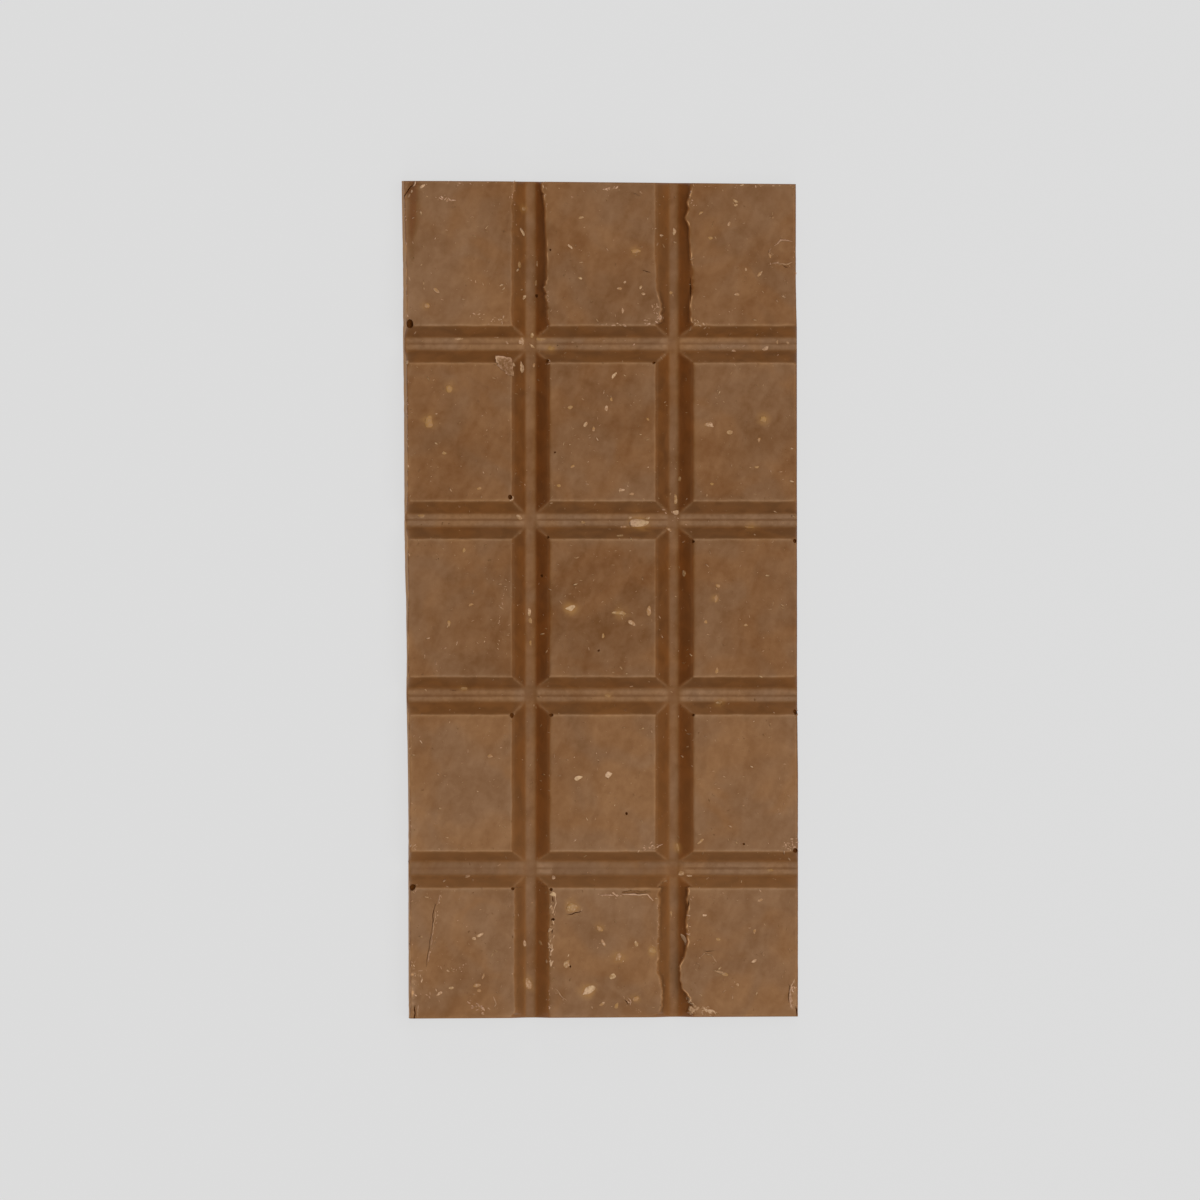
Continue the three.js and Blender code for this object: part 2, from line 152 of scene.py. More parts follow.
# Ragged edges of the long grooves: the groove, the side of it (-1 left, 1 right), how much it overhangs, and
# places along the bar with how far the edge stands in over the groove there and how rough it is.
ROUGH_STEPS = ((0.9, 1.3), (0.9, 0.6), (0.6, 0.35))
LIP_TOP = 0.3
LIP_FOOT = 1.0
LIPS = (
    (0, 1, 0.5, (
        (79.7, 1.35, 0.2), (78.6, 1.4, 0.25), (77.4, 1.22, 0.2), (76.2, 1.13, 0.15), (74.4, 0.77, 0.05),
        (70.8, 0.68, 0.04), (67.3, 0.51, 0.03), (63.8, 0.38, 0.03), (61.1, 0.59, 0.15), (60.2, 0.77, 0.2),
        (59.2, 0.82, 0.2), (58.1, 0.5, 0.25), (56.7, 0.42, 0.2), (55.3, 0.32, 0.15), (52.4, 0.15, 0.1),
    )),
    (1, 1, 0.9, (
        (79.7, 0.44, 0.1), (77.4, 0.61, 0.1), (76.1, 0.97, 0.1), (74.7, 0.8, 0.1), (73.7, 1.33, 0.1),
        (72.8, 1.54, 0.08), (71.9, 0.97, 0.08), (70.8, 0.71, 0.06), (67.3, 0.53, 0.05), (64.7, 0.35, 0.08),
        (62.9, 0.12, 0.1), (59.3, 0.08, 0.12), (57.6, 0.35, 0.1), (55.8, 0.53, 0.1), (52.4, 0.4, 0.1),
    )),
    (0, -1, 0.3, (
        (79.7, 0.65, 0.15), (78.6, 0.55, 0.15), (77, 0.2, 0.15), (75, 0.05, 0.1), (61, -0.05, 0.05),
        (52.4, -0.1, 0.03),
    )),
    (1, -1, 0.5, (
        (79.7, -0.05, 0.05), (64.7, -0.05, 0.04), (62, 0.1, 0.08), (60.2, 0.28, 0.12), (58.5, 0.45, 0.15),
        (56.7, 0.85, 0.2), (54, 0.9, 0.25), (52.4, 0.8, 0.2),
    )),
    (1, 1, 0.8, (
        (-54.6, 0.7, 0.25), (-56, 1.05, 0.2), (-57.6, 1.24, 0.2), (-59.7, 0.92, 0.25), (-62.3, 1.18, 0.15),
        (-65.3, 0.92, 0.12), (-67.7, 1.57, 0.12), (-69.8, 2.5, 0.12), (-72, 2.4, 0.12), (-74.1, 2.1, 0.15),
        (-75.9, 0.9, 0.2), (-77.4, 0.2, 0.25), (-79.1, 1.14, 0.2),
    )),
    (1, -1, 0.4, (
        (-54.6, 0.75, 0.15), (-58, 0.65, 0.15), (-61.4, 0.63, 0.12), (-65.3, 0.42, 0.12),
        (-68.7, 0.5, 0.12), (-70.9, 0.31, 0.15), (-72.6, 0.85, 0.12), (-74.1, 1.25, 0.1),
        (-76.3, 1.25, 0.15), (-79.1, 0.75, 0.15),
    )),
    (0, 1, 0, (
        (-54.6, 0.15, 0.06), (-58, 0.2, 0.1), (-61, 0.1, 0.12), (-66, 0.15, 0.1), (-73, 0.1, 0.05),
        (-79.1, 0.1, 0.05),
    )),
    (0, -1, 0, (
        (-54.6, 0.5, 0.06), (-61, 0.55, 0.1), (-73, 0.5, 0.08), (-79.1, 0.55, 0.1),
    )),
)

# Burst air bubbles: X, Y, size in X, size in Y.
BUBBLES = (
    (-36, 52.2, 1.14, 1.71), (-35.5, -54.5, 1.33, 1.43), (-17, 19.4, 0.8, 0.91), (-10, 45.2, 0.76, 0.76),
    (10.3, 44.9, 0.57, 0.57), (17.7, 11, 0.67, 0.67), (-16.7, -22, 0.76, 0.95), (-9.2, -21.9, 0.76, 0.67),
    (17.7, -21.9, 0.57, 0.57), (37.1, -21.3, 0.76, 1.52), (37, 11.1, 0.76, 0.95), (37.1, -47.6, 0.95, 0.95),
    (-16.5, -54.9, 0.61, 0.61), (-9.2, -55, 0.61, 0.61), (-9.8, 11.8, 0.57, 0.57), (-11, 4.5, 0.57, 0.57),
    (5.1, -40.6, 0.47, 0.57), (-0.2, -9.7, 0.47, 0.47), (-8.5, 27.9, 0.38, 0.38), (-5.6, -69.6, 0.3, 0.45),
    (-8.9, -60.7, 0.76, 0.57), (-9.4, 66.3, 0.38, 0.38), (27.3, -46.4, 0.47, 0.38), (-12, 57.7, 0.57, 0.76),
)

# Cracks: width, depth, then the points of the crack.
CRACKS = (
    (0.27, 0.25, ((-31.1, -57.6), (-31.5, -59.6), (-31.9, -62.4))),
    (0.18, 0.25, ((-31.7, -61.5), (-32.4, -66), (-33, -69.9))),
    (0.3, 0.3, ((-6.3, -59.6), (-5.3, -59.7), (-3.3, -59))),
    (0.35, 0.25, ((-8.8, -56), (-8.9, -57.6))),
    (0.3, 0.25, ((-9, -62.3), (-9.1, -63.4))),
    (0.3, 0.25, ((-9.2, -65.6), (-9.4, -66.9))),
    (0.25, 0.3, ((16.9, -57), (16.8, -58.6))),
    (0.25, 0.3, ((4.7, -75.9), (5.4, -76.9))),
    (0.3, 0.25, ((-35.1, 79.6), (-35.6, 78.7), (-36.5, 77.7), (-37.3, 76.5), (-37.8, 76))),
    (0.2, 0.2, ((19.5, -66.7), (21.9, -66.7))),
    (0.45, 0.35, ((-35.1, -76.9), (-35.1, -79.9))),
    (0.25, 0.25, ((36, -72.8), (35.9, -74.4), (35.8, -76.4))),
    (0.3, 0.4, ((37.2, -77.2), (37.4, -79))),
    (0.24, 0.22, ((8, 62.4), (9, 62.1), (9.7, 61.9))),
    (0.22, 0.25, ((34.7, 63.3), (35.3, 63), (35.8, 63.1))),
    (0.16, 0.15, ((6.1, 77.1), (7.8, 76.5))),
    (0.16, 0.15, ((-28.4, -17.2), (-27.3, -17.4))),
    (0.3, 0.3, ((17.2, 61), (17.2, 56.8))),
)

# Seeds of the first plate and the first ridge.
PLATE_SEED = 60
RIDGE_SEED = 80

# Low ridges of broken chocolate: width, height, how pale, then the points of the ridge.
RIDGES = (
    (0.3, 0.12, 0.55, ((33.1, 67), (34.2, 68.2), (35.2, 68.1), (36.6, 67.9))),
    (0.3, 0.1, 0.3, ((32.5, 66.6), (32.2, 65.9), (32.3, 65))),
    (0.3, 0.1, 0.45, ((32.6, 63.6), (33.7, 63.8), (34.7, 63.6), (35.1, 63.4), (36.6, 63.9))),
    (0.55, 0.04, -0.12, ((4.2, -55.45), (9.8, -55.45))),
    (0.3, 0.14, 1, ((4.2, -56), (9.1, -56), (10.2, -57.1))),
    (0.25, 0.1, 0.7, ((0, -56), (2.6, -56.1))),
    (0.28, 0.12, 0.8, ((-8.4, -55.8), (-8.3, -57.6), (-8.9, -59.6))),
    (0.2, 0.1, 0.5, ((-8.4, -73.8), (-6.9, -75.6), (-6.2, -76))),
    (0.2, 0.1, 0.8, ((5.3, -75.4), (5.9, -76.2), (5.7, -77))),
    (0.2, 0.1, 0.6, ((-20.2, -75.3), (-19.7, -76.7), (-20, -77.4))),
    (0.2, 0.1, 0.65, ((-30.3, -56), (-30.8, -58))),
    (0.2, 0.1, 0.75, ((-31.1, -59.2), (-31.6, -62.2), (-32, -65.6))),
    (0.25, 0.1, 0.6, ((-32.2, -66.8), (-32.5, -68.8))),
    (0.2, 0.12, 0.8, ((-34.5, -76.9), (-34.5, -79.5))),
    (0.3, 0.12, 0.7, ((37, -72), (36.3, -73.2), (36.1, -75.4), (36.2, -77.2))),
    (0.22, 0.1, 0.4, ((19.1, -67.9), (19.9, -67.2), (21.2, -67.4), (22.2, -68.9))),
    (0.5, 0.12, 0.45, ((21.6, -70.4), (23.2, -70.8), (24.3, -71.3))),
)

# The larger pieces of nut: X, Y, length, width, turn from +X, and how pale it shows through the chocolate.
NUTS = (
    (7.4, 14.6, 3.2, 1.5, 8, 0.95), (9.2, 15.5, 0.9, 0.6, 20, 0.7), (5.8, 15.6, 0.7, 0.6, 0, 0.7),
    (4.5, 13.8, 1.5, 0.6, 5, 0.6), (4, 12.2, 1.5, 0.5, 5, 0.5), (-3.1, 14.7, 0.9, 0.7, 0, 0.6),
    (-5.5, -1.6, 1.9, 1.3, 20, 1), (-4, -33.9, 1.3, 0.9, 10, 1), (1.7, -33.3, 1.3, 1.2, 60, 0.9),
    (-2.1, -74.1, 2.4, 1.1, 30, 0.95), (20.9, 33.1, 1.9, 1.1, 10, 0.75), (24.7, 31.7, 1.1, 0.9, 0, 0.7),
    (-32.3, 33.7, 2.5, 1.9, 75, 0.42), (-28.6, 40, 1.7, 1.5, 90, 0.38), (-5.3, -58.3, 2.1, 1.7, 40, 0.6),
    (-6.2, -69.1, 1.5, 1.3, 60, 0.65), (6.8, 66.1, 2.3, 0.9, 5, 0.4), (-32.8, 55.7, 1.2, 1.1, 0, 0.48),
    (-31, 58.6, 1.3, 0.8, -30, 0.6), (-14.4, 74.3, 1.5, 1.1, 60, 0.45), (-14.6, 69.7, 1.7, 0.6, 120, 0.75),
    (-14.3, 57.4, 1.5, 0.8, 35, 0.75), (-14.8, 44.3, 2.3, 0.9, 95, 0.65), (-14.9, 48.9, 1.7, 0.9, 80, 0.8),
    (14.4, 18.7, 2.3, 0.9, 95, 0.65), (14.5, 16.6, 1.1, 1.1, 0, 0.9), (15.2, 22.9, 1.1, 0.9, 70, 0.5),
    (-13.6, -73, 2.1, 1.3, 110, 0.7), (-14.3, -65.3, 1.3, 0.9, 110, 0.75), (3.8, -2.6, 3, 0.8, 0, 0.6),
    (6.1, -4.5, 1.5, 0.8, -35, 0.7), (9.4, -2.1, 1.9, 0.9, 80, 0.6), (31, 34.1, 1.7, 1.3, 0, 0.42),
    (30.2, 30.2, 0.9, 0.8, 80, 0.5), (22.5, 2.6, 1.1, 0.9, 0, 0.5), (22, 0.2, 1.5, 0.8, 85, 0.5),
    (20.1, -4.2, 0.9, 0.9, 0, 0.5), (27.7, -4.8, 0.9, 0.8, 0, 0.5), (-25.8, -16.9, 1.3, 1.1, 0, 0.55),
    (22.7, -19.6, 1.7, 0.8, 30, 0.55), (1.6, -18.3, 1.5, 0.9, -30, 0.5), (14.8, -47.1, 1.9, 0.8, 110, 0.5),
    (15.4, -52.1, 1.2, 1.1, 0, 0.65), (-25.2, -52.6, 1.5, 0.8, 35, 0.6), (-26.8, 49.6, 1.5, 0.7, 5, 0.75),
    (31.5, 47.7, 1.3, 0.8, 30, 0.8), (25.4, 47.3, 1, 0.9, 0, 0.7), (33.7, 49, 0.8, 0.6, 90, 0.6),
    (35.8, 48.7, 0.9, 0.6, -40, 0.6), (-15.4, 15.7, 1.3, 0.8, -40, 0.75), (28.5, 13.8, 2.7, 0.8, 5, 0.35),
    (13.2, 13.3, 1.1, 0.6, -40, 0.6), (-13.4, -2.4, 1.3, 0.8, 90, 0.8), (-13.2, -4.1, 1.1, 0.8, 90, 0.6),
    (-13.1, -8.2, 1.1, 0.7, 90, 0.5), (16, 5, 1.3, 0.7, 90, 0.5), (16, -64.3, 1.7, 0.9, 118, 0.9),
    (4.1, 20.8, 1.1, 0.8, 0, 0.8), (-2.7, 33.2, 0.9, 0.9, 60, 0.75), (1.2, 36.2, 1.1, 0.8, 75, 0.75),
    (-1.1, 32.2, 1.3, 0.7, 85, 0.55), (2.7, 42.4, 1.5, 0.6, 50, 0.75), (-5.5, 36.4, 1.1, 0.9, 0, 0.5),
    (2.2, 37.9, 0.9, 0.8, 80, 0.35), (-5.1, 25.2, 0.9, 0.7, 30, 0.5), (-7.8, 21.6, 0.9, 0.8, -10, 0.42),
    (6, 20, 1.1, 0.8, 15, 0.45), (9.1, 34.2, 0.9, 0.8, 0, 0.45), (-29.5, 27.8, 0.9, 0.8, 0, 0.5),
    (-22.9, 21.1, 0.9, 0.9, 0, 0.45), (-25.7, 9.3, 0.9, 0.8, 80, 0.5), (-28.6, -4.6, 1.3, 0.9, 90, 0.42),
    (-24.4, -1, 1.1, 0.7, 10, 0.5), (-20.7, -29.7, 1.3, 0.8, 0, 0.5), (-22.7, -63.6, 1.3, 0.7, 25, 0.8),
    (-23.8, -64.3, 0.8, 0.7, 0, 0.75), (0.7, -65.1, 1.3, 0.8, 115, 0.65), (3.5, -68, 1.8, 1.3, 70, 0.6),
    (-0.1, -62.3, 1.9, 0.9, -50, 0.5), (2.6, -71.4, 1.5, 1, 30, 0.75), (0.4, -76.7, 1.3, 0.6, 25, 0.65),
    (7, -65.4, 1.3, 0.8, 110, 0.65), (10, -66.6, 1.5, 1.2, 0, 0.55), (-22.1, -71.4, 1.1, 0.5, 70, 0.7),
    (-23.3, -73.1, 1.5, 1, 0, 0.6), (-22.8, -74.2, 0.9, 0.8, 0, 0.55), (-28.2, -73.7, 0.9, 0.6, 10, 0.8),
    (-30.4, -74.7, 1.5, 0.6, 30, 0.75), (32.5, -51.5, 1.7, 0.6, 0, 0.5), (22.2, -13.5, 1.3, 0.7, 90, 0.5),
    (0.6, -6.9, 0.9, 0.8, 80, 0.5), (-36.6, 44.9, 0.9, 0.7, 60, 0.6), (-33.9, 15.9, 1.5, 0.7, 0, 0.6),
    (25.7, 75.6, 1, 0.6, -25, 0.7), (25.8, 74.8, 0.7, 0.6, 0, 0.7), (19.2, 73.3, 0.9, 0.6, 45, 0.6),
    (24.5, 71.3, 1, 0.6, 70, 0.7), (14.2, 69.9, 1.4, 0.8, 110, 0.85), (20.9, 68.5, 1, 0.7, 10, 0.6),
    (32.2, 65.4, 1.3, 0.6, 110, 0.5), (30.4, 61.8, 1.3, 0.7, 45, 0.65), (27.7, 62.5, 0.7, 0.6, 90, 0.7),
    (26, 57.8, 0.9, 0.8, 0, 0.6), (23.7, -71.1, 1.5, 0.7, -20, 0.55), (29.4, -63, 0.9, 0.8, 80, 0.55),
    (30.4, -57, 1, 0.7, 10, 0.7), (13.6, -59.8, 1.1, 0.7, 100, 0.55), (-12.9, 48.2, 1.4, 0.7, -45, 0.75),
    (-12.9, 50.2, 0.9, 0.7, 90, 0.7), (-17.7, 48.7, 1.4, 0.6, -50, 0.6), (-19.8, 49.8, 1.1, 0.6, 0, 0.6),
    (-9.2, 47.8, 1.6, 1.1, 20, 0.35), (-11.2, 49.5, 1.9, 0.6, 0, 0.5), (-12.5, 44.5, 0.9, 0.7, 90, 0.6),
    (-15.2, 63.6, 1.3, 0.8, 90, 0.4), (-11.9, 63.8, 1.3, 0.7, 80, 0.45), (-12.1, 60.3, 1.3, 0.7, 80, 0.5),
    (11.7, 69.1, 0.7, 0.6, 0, 0.9), (13.5, 58.4, 1.3, 0.8, 20, 0.4), (-5.6, 66.9, 1, 0.6, -50, 0.85),
    (-3.5, 72.4, 1.1, 0.7, 0, 0.55), (-3.7, 60.9, 0.7, 0.6, -20, 0.7), (4.8, 60.2, 0.6, 0.5, 40, 0.75),
    (7.7, 59.2, 0.9, 0.6, 50, 0.75), (3.8, 59, 1.1, 0.8, 10, 0.55), (4.4, 54.8, 1.1, 0.6, 90, 0.6),
    (8.3, 58, 0.9, 0.7, -30, 0.72), (3.2, -77.1, 1.3, 0.8, 60, 0.45), (6.9, -75.7, 1.3, 1.1, 30, 0.5),
    (-8.8, -52.8, 1.1, 0.7, 110, 0.8), (-8.9, -55.9, 1.1, 0.9, 0, 0.95),
    (-11.2, -65.3, 1.3, 0.8, 120, 0.35), (17.1, -52.5, 1, 0.8, 0, 0.8), (22.4, -64.5, 0.9, 0.7, 0, 0.6),
    (19.9, -59.9, 0.7, 0.6, 0, 0.85), (29.3, -68.6, 1, 0.6, 30, 0.85), (26.1, -73, 0.8, 0.6, -40, 0.7),
    (21.3, 21.9, 0.8, 0.7, 0, 0.5), (29.8, 25.1, 0.8, 0.6, 0, 0.5), (19.1, -45.9, 1.5, 0.5, 40, 0.6),
)

# Plates of chocolate that broke and tilted up: X, Y and height above the squares, round the outline. Then
# the steps along each side of it, the rings as shares of its size, how thick it is, how ragged its rim and
# how long the nicks, how rough its top, the most it rises, and how much its underside is smaller.
PLATES = (
    (
        (-19.6, 46.2, 0.42), (-18.3, 46.05, 0.4), (-17, 45.7, 0.36), (-16.45, 44.7, 0.22),
        (-16.4, 43.5, 0.1), (-16.35, 42.4, 0.03), (-16.9, 42.5, 0.04), (-17.7, 43, 0.1),
        (-18.7, 43.6, 0.16), (-19.4, 44.3, 0.2), (-19.7, 45.3, 0.32),
    ),
)
PLATE_STEPS = 6
PLATE_RINGS = (1, 0.94, 0.86, 0.76, 0.64, 0.5, 0.36, 0.22, 0.1)
PLATE_THICKNESS = 0.9
PLATE_RAG = 0.16
PLATE_NICK = 0.35
PLATE_ROUGH = 0.3
PLATE_TOP = 0.44
PLATE_UNDERCUT = 0.12

# The size and length of the waves of a plate's rough top. It is paler towards its upper left corner (from and
# to, in Y less X), where it is rough, and at its rim.
PLATE_WAVES = ((0.6, 0.9), (0.4, 0.4))
PLATE_LIT = (61.8, 65.4)
PLATE_TONES = {"flat": 0.08, "rough": 0.25, "rim": 0.25, "lit rim": 0.6, "middle": 0.15, "under": 0.1}

# Wedges of cracks and ridges: the step along them, how far and over what length they sway, how uneven their
# width is and over what length, how blunt their ends are, half a base over the width, how far a crack starts
# above the face, and the share of a ridge's height that is sunk.
WEDGE_STEP = 0.3
WEDGE_SWAY = (0.12, 0.8)
WEDGE_UNEVEN = (0.3, 0.5)
WEDGE_BLUNT = 0.12
WEDGE_HALF = 0.7
CRACK_ABOVE = 0.3
RIDGE_SUNK = 0.3

# How pale each part is made: arrises of each kind of groove, lips and rims (painted highlights with wear),
# the left rim and side (wear), mitres (painted highlights), the floors of both kinds of groove (painted
# sheen), and the other sides (wear).
LONG_ARRIS_HIGHLIGHT_AND_WEAR = 0.6
CROSS_ARRIS_HIGHLIGHT_AND_WEAR = 1.1
LIP_HIGHLIGHT_AND_WEAR = 2.2
RIM_HIGHLIGHT_AND_WEAR = 0.4
LEFT_RIM_WEAR = 1.7
LEFT_WEAR = 1.6
MITRE_HIGHLIGHT = 0.8
FLOOR_SHEEN = 0.95
LONG_FLOOR_HIGHLIGHT = 0.07
SIDE_WEAR = 0.3

# Pale lines, painted highlights with wear: how far beyond its edge each lies, and its width. None runs on an
# arris close to the rim, nor on a rim where a groove is deeper than a brink.
PALE_LINES = {"long arris": (0.1, 0.16), "cross arris": (0.12, 0.2), "rim": (0.22, 0.2), "lip": (0.05, 0.17)}

CLOSE_TO_RIM = 0.5
BRINK = 0.3

# Depths of a groove between which the pale line of an arris that meets it fades, and how far a lip stands in
# where its line starts and where it is full.
LINE_FADES = (0.05, 0.4)
LIP_LINE = (0.05, 0.4)

# How strong a line that breaks off is on average, how much more or less it gets, and over what length, for
# the lips and the left rim. The rubbing of the left rim fades over a reach.
LIP_BREAKS = (0.55, 0.45, 0.9)
LEFT_BREAKS = (0.7, 0.4, 1.1)
LEFT_REACH = 0.3

# The painted highlight along a mitre: its width, depths between which it starts, and heights over the floor
# between which it ends. The floor of a long groove gets a painted highlight between the last two depths.
MITRE_LINE = 0.6
MITRE_STARTS = (0.2, 0.6)
MITRE_ENDS = (0.8, 0.4)
LONG_FLOOR = (3.4, 3.8)

# Painted sheen in bands beside a crease: where they start and end, and their share where the crease is
# missing.
BAND_START = (0.08, 0.3)
BAND_END = (0.75, 1.4)
BAND_WITHOUT_CREASE = 0.3

# Scattered pieces: how finely each kind is made (1 to 3), its roughness, and its thickness and how deep it
# is sunk as shares of the width.
PIECES = {
    "nut_pieces": (3, 0.05, 0.2, 0.07),
    "nut_flecks": (1, 0.15, 0.2, 0.05),
    "chocolate_scraps": (2, 0.12, 0.3, 0.1),
}

# Half a size before chips take some off, how many chips, how far from the middle they cut, lengths between
# which a piece grows to its full width with the shares of it there, the share of a length that lies bare at
# least, how high on a piece its veil ends, how much paler it shows on a steep wall (painted light against the
# shade there), and how much of a bubble (squared) stays free of pieces.
HALF_SIZE = 0.68
CHIPS = 7
CHIP_CUTS = (0.5, 0.98)
SLIMMER = ((0.8, 1.8), (0.72, 1))
BARE_LEAST = 0.35
VEIL_ENDS = (0.1, 0.6)
WALL_TONE = 0.4
BUBBLE_FREE = 0.4

# Small flecks: the margin at the sides, the shortest as a share of the longest, the width as shares of the
# length, how pale they are at least and how much more at most, and the share of dark ones with their tone.
FLECK_MARGIN = 1
FLECK_SHORTEST = 0.33
FLECK_WIDTH = (0.25, 0.6)
FLECK_TONE = (0.1, 0.75)
DARK_FLECKS = 0.2
DARK_FLECK_TONE = -0.3

# Scraps of chocolate, likewise, with the steps of the edge they lie on, how far they turn from it, how much
# longer they are before they are veiled, and their two colours.
SCRAP_STEP = 0.1
SCRAP_LONGER = 1.2
SCRAP_SHORTEST = 0.35
SCRAP_WIDTH = (0.3, 0.65)
SCRAP_TONE = (0.25, 1.0)
SCRAP_TURN = 35
DARK_SCRAPS = 0.15
DARK_SCRAP_TONE = -0.4
PALE_SCRAP = (0.70, 0.555, 0.45)
TAN_SCRAP = (0.59, 0.445, 0.33)

# Bubbles: how deep over the sum of both sizes, how lumpy, the size from which scraps cling to the rim,
# where they do (in degrees round from the right, and as a share of the size), how far they spread, how many
# they are, and the longest.
BUBBLE_DEPTH = 5 / 12
BUBBLE_LUMPS = 0.12
SCRAPPY_BUBBLE = 0.7
SCRAPPY_ARC = (-110, 40)
SCRAPPY_RADIUS = 0.6
BUBBLE_SCRAPS = (0.08, 10, 0.45)

# Scraps of broken chocolate that lie singly, in the same terms as the nuts.
SCRAPS = (
    (-35.2, 78.8, 1.3, 0.5, 66, 0.75),
    (-35.6, 77.8, 1.5, 0.45, 64, 0.6),
    (-36.2, 76.7, 1, 0.4, 62, 0.45),
    (-33.6, 78.4, 1, 0.6, 40, 0.95),
    (-30.1, 76, 1.1, 0.3, -30, 0.7),
    (-29.3, 75.9, 1, 0.3, 40, 0.75),
    (-28.4, 75.8, 1, 0.3, -40, 0.65),
    (-19.1, 44.4, 0.6, 0.5, 0, 0.95),
    (-17.6, 43, 0.7, 0.5, 10, 0.95),
)

# Crumbled edges: the points of the edge, how far the scraps spread from it, how many they are, the longest.
CRUMBLED = (
    (((-31.1, 76.1), (-30.1, 76.3), (-29.2, 75.8), (-27.6, 75.8)), 0.2, 16, 0.7),
    (((-21.4, 53.4), (-17.2, 52.6)), 0.45, 24, 0.6),
    (((-23.7, 54), (-22, 54.1)), 0.3, 8, 0.6),
    (((-16.3, 79), (-16.5, 74.6)), 0.2, 12, 0.6),
    (((-10.4, 79), (-10.4, 73.5)), 0.25, 14, 0.6),
    (((-10, 61.4), (-9.8, 51.9)), 0.2, 18, 0.5),
    (((17.3, 78.4), (17.7, 74.6)), 0.35, 16, 0.6),
    (((19, 78.4), (36.7, 78.4)), 0.2, 24, 0.5),
    (((-34.1, 79), (-18, 78.8)), 0.25, 18, 0.5),
    (((17.9, 52.6), (20.2, 51.9)), 0.4, 18, 0.6),
    (((10.5, 55.9), (11.6, 53.4), (8.6, 52.2)), 0.45, 34, 0.7),
    (((33.4, 67.3), (34.3, 68.2), (36.5, 67.9)), 0.15, 8, 0.6),
    (((32.3, 63.6), (34.7, 63.7), (36.7, 63.2)), 0.15, 8, 0.6),
    (((36.6, -72.6), (36.4, -78.2)), 0.25, 34, 0.9),
    (((36.8, 67), (37, 61.4)), 0.2, 12, 0.5),
    (((0, 52), (5, 52)), 0.12, 16, 0.9),
    (((-0.2, 77.6), (3.2, 78.2)), 0.15, 14, 0.8),
    (((-5.8, 77), (-5, 76)), 0.12, 6, 0.6),
    (((7.6, -47.5), (11.2, -46.7)), 0.35, 20, 0.7),
    (((34.8, -47.1), (37.4, -46.2)), 0.35, 22, 0.7),
    (((-29.9, -55.1), (-31.2, -61.7), (-32.6, -69.3)), 0.12, 22, 0.5),
    (((-30.9, -69.5), (-26.7, -70.8), (-24.8, -68)), 0.25, 16, 0.6),
    (((-24.2, -76.6), (-21.8, -78)), 0.5, 18, 0.9),
    (((-34.8, -69.9), (-32.6, -76)), 0.8, 18, 0.7),
    (((-35.8, -61.7), (-35, -79)), 0.3, 24, 0.7),
    (((-8.9, -58), (-8.9, -59.8), (-9.6, -69.7)), 0.3, 44, 1),
    (((-9.6, -70.3), (-9.4, -77.9)), 0.2, 12, 0.5),
    (((17.5, -55.7), (17.1, -59.8), (16.5, -65.5)), 0.25, 24, 0.7),
    (((16.4, -75.2), (17.3, -76.9), (17.4, -78.6)), 0.25, 30, 1),
    (((17.4, -77.2), (19.9, -77.7), (22.5, -78.4)), 0.4, 44, 1.1),
    (((10.9, -56.4), (11.4, -66.5), (11.8, -77.9)), 0.18, 28, 0.5),
    (((0.4, -56.2), (4.2, -56.2)), 0.25, 10, 0.6),
    (((2.7, -56), (4.2, -56.3)), 0.25, 8, 0.7),
    (((4.6, -75.4), (5.5, -76.5), (5.9, -75.4)), 0.1, 10, 0.6),
    (((7.1, -77.5), (8, -78.2)), 0.2, 8, 0.7),
    (((-17.2, 3.7), (-18.5, 0.9), (-19.3, -6.9), (-19.1, -9.2)), 0.15, 16, 0.5),
    (((-9.2, -73.7), (-6.4, -76.5)), 0.2, 12, 0.5),
    (((-36.9, 75.8), (-36.7, 53)), 0.2, 30, 0.6),
    (((-36.6, 44.5), (-36.5, 18.9)), 0.15, 40, 0.6),
    (((-36.4, 11.3), (-36.4, -14.3)), 0.15, 26, 0.5),
    (((-36, -21.9), (-35.9, -47.5)), 0.15, 26, 0.5),
    (((19, 46.9), (36.1, 46.9)), 0.8, 16, 0.5),
    (((-7.5, 49.2), (9.5, 49.2)), 0.6, 14, 0.5),
    (((10.5, 18.9), (17.1, 13.2)), 0.8, 16, 0.5),
    (((-36.9, -47.5), (-34.1, -46.6)), 0.3, 10, 0.6),
)

# Scuffed patches: how strong they are on average and how much more or less, over what length, the shares of
# the reach (squared) between which they fade, then X, Y, reach in X, reach in Y, and how strong for each
# patch.
SCUFF_BREAKS = (0.6, 0.6, 0.7)
SCUFF_FADES = (0.4, 1.6)
SCUFFS = (
    (36.8, -75.4, 0.6, 3.2, 1),
    (36.9, -46.6, 0.57, 0.47, 0.8),
    (-35.7, -73.4, 0.8, 3.8, 1.5),
    (-36.6, 44.9, 0.38, 0.38, 0.6),
    (2.3, 52.1, 2.47, 0.24, 0.6),
    (18.6, 52.1, 1.14, 0.29, 0.7),
    (9.5, -47.3, 1.71, 0.38, 0.7),
    (36.1, -46.7, 1.33, 0.76, 0.7),
    (-19.3, 53, 2.28, 0.38, 0.5),
    (9.5, 53.4, 1.52, 0.76, 0.5),
    (19, -77.9, 1.9, 0.57, 0.5),
    (-34.1, 78.2, 0.76, 0.57, 0.6),
    (-9.2, -62.7, 0.38, 6.65, 0.4),
    (-21.2, -2, 0.95, 2.85, 0.15),
    (-32.2, -73.1, 1.33, 1.9, 0.25),
    (-22.7, -77.5, 2.85, 0.76, 0.3),
    (35.1, 65.3, 1.71, 1.71, 0.3),
)

# Where the bloom of the squares is weaker or stronger: X, Y, the radii between which it fades, the change.
BLOOM_PATCHES = (
    (3, -1.5, 4, 20, -0.12), (-30, 65, 10, 24, 0.11), (28, -2, 6, 18, -0.06), (-30, -50, 10, 30, 0.06),
)

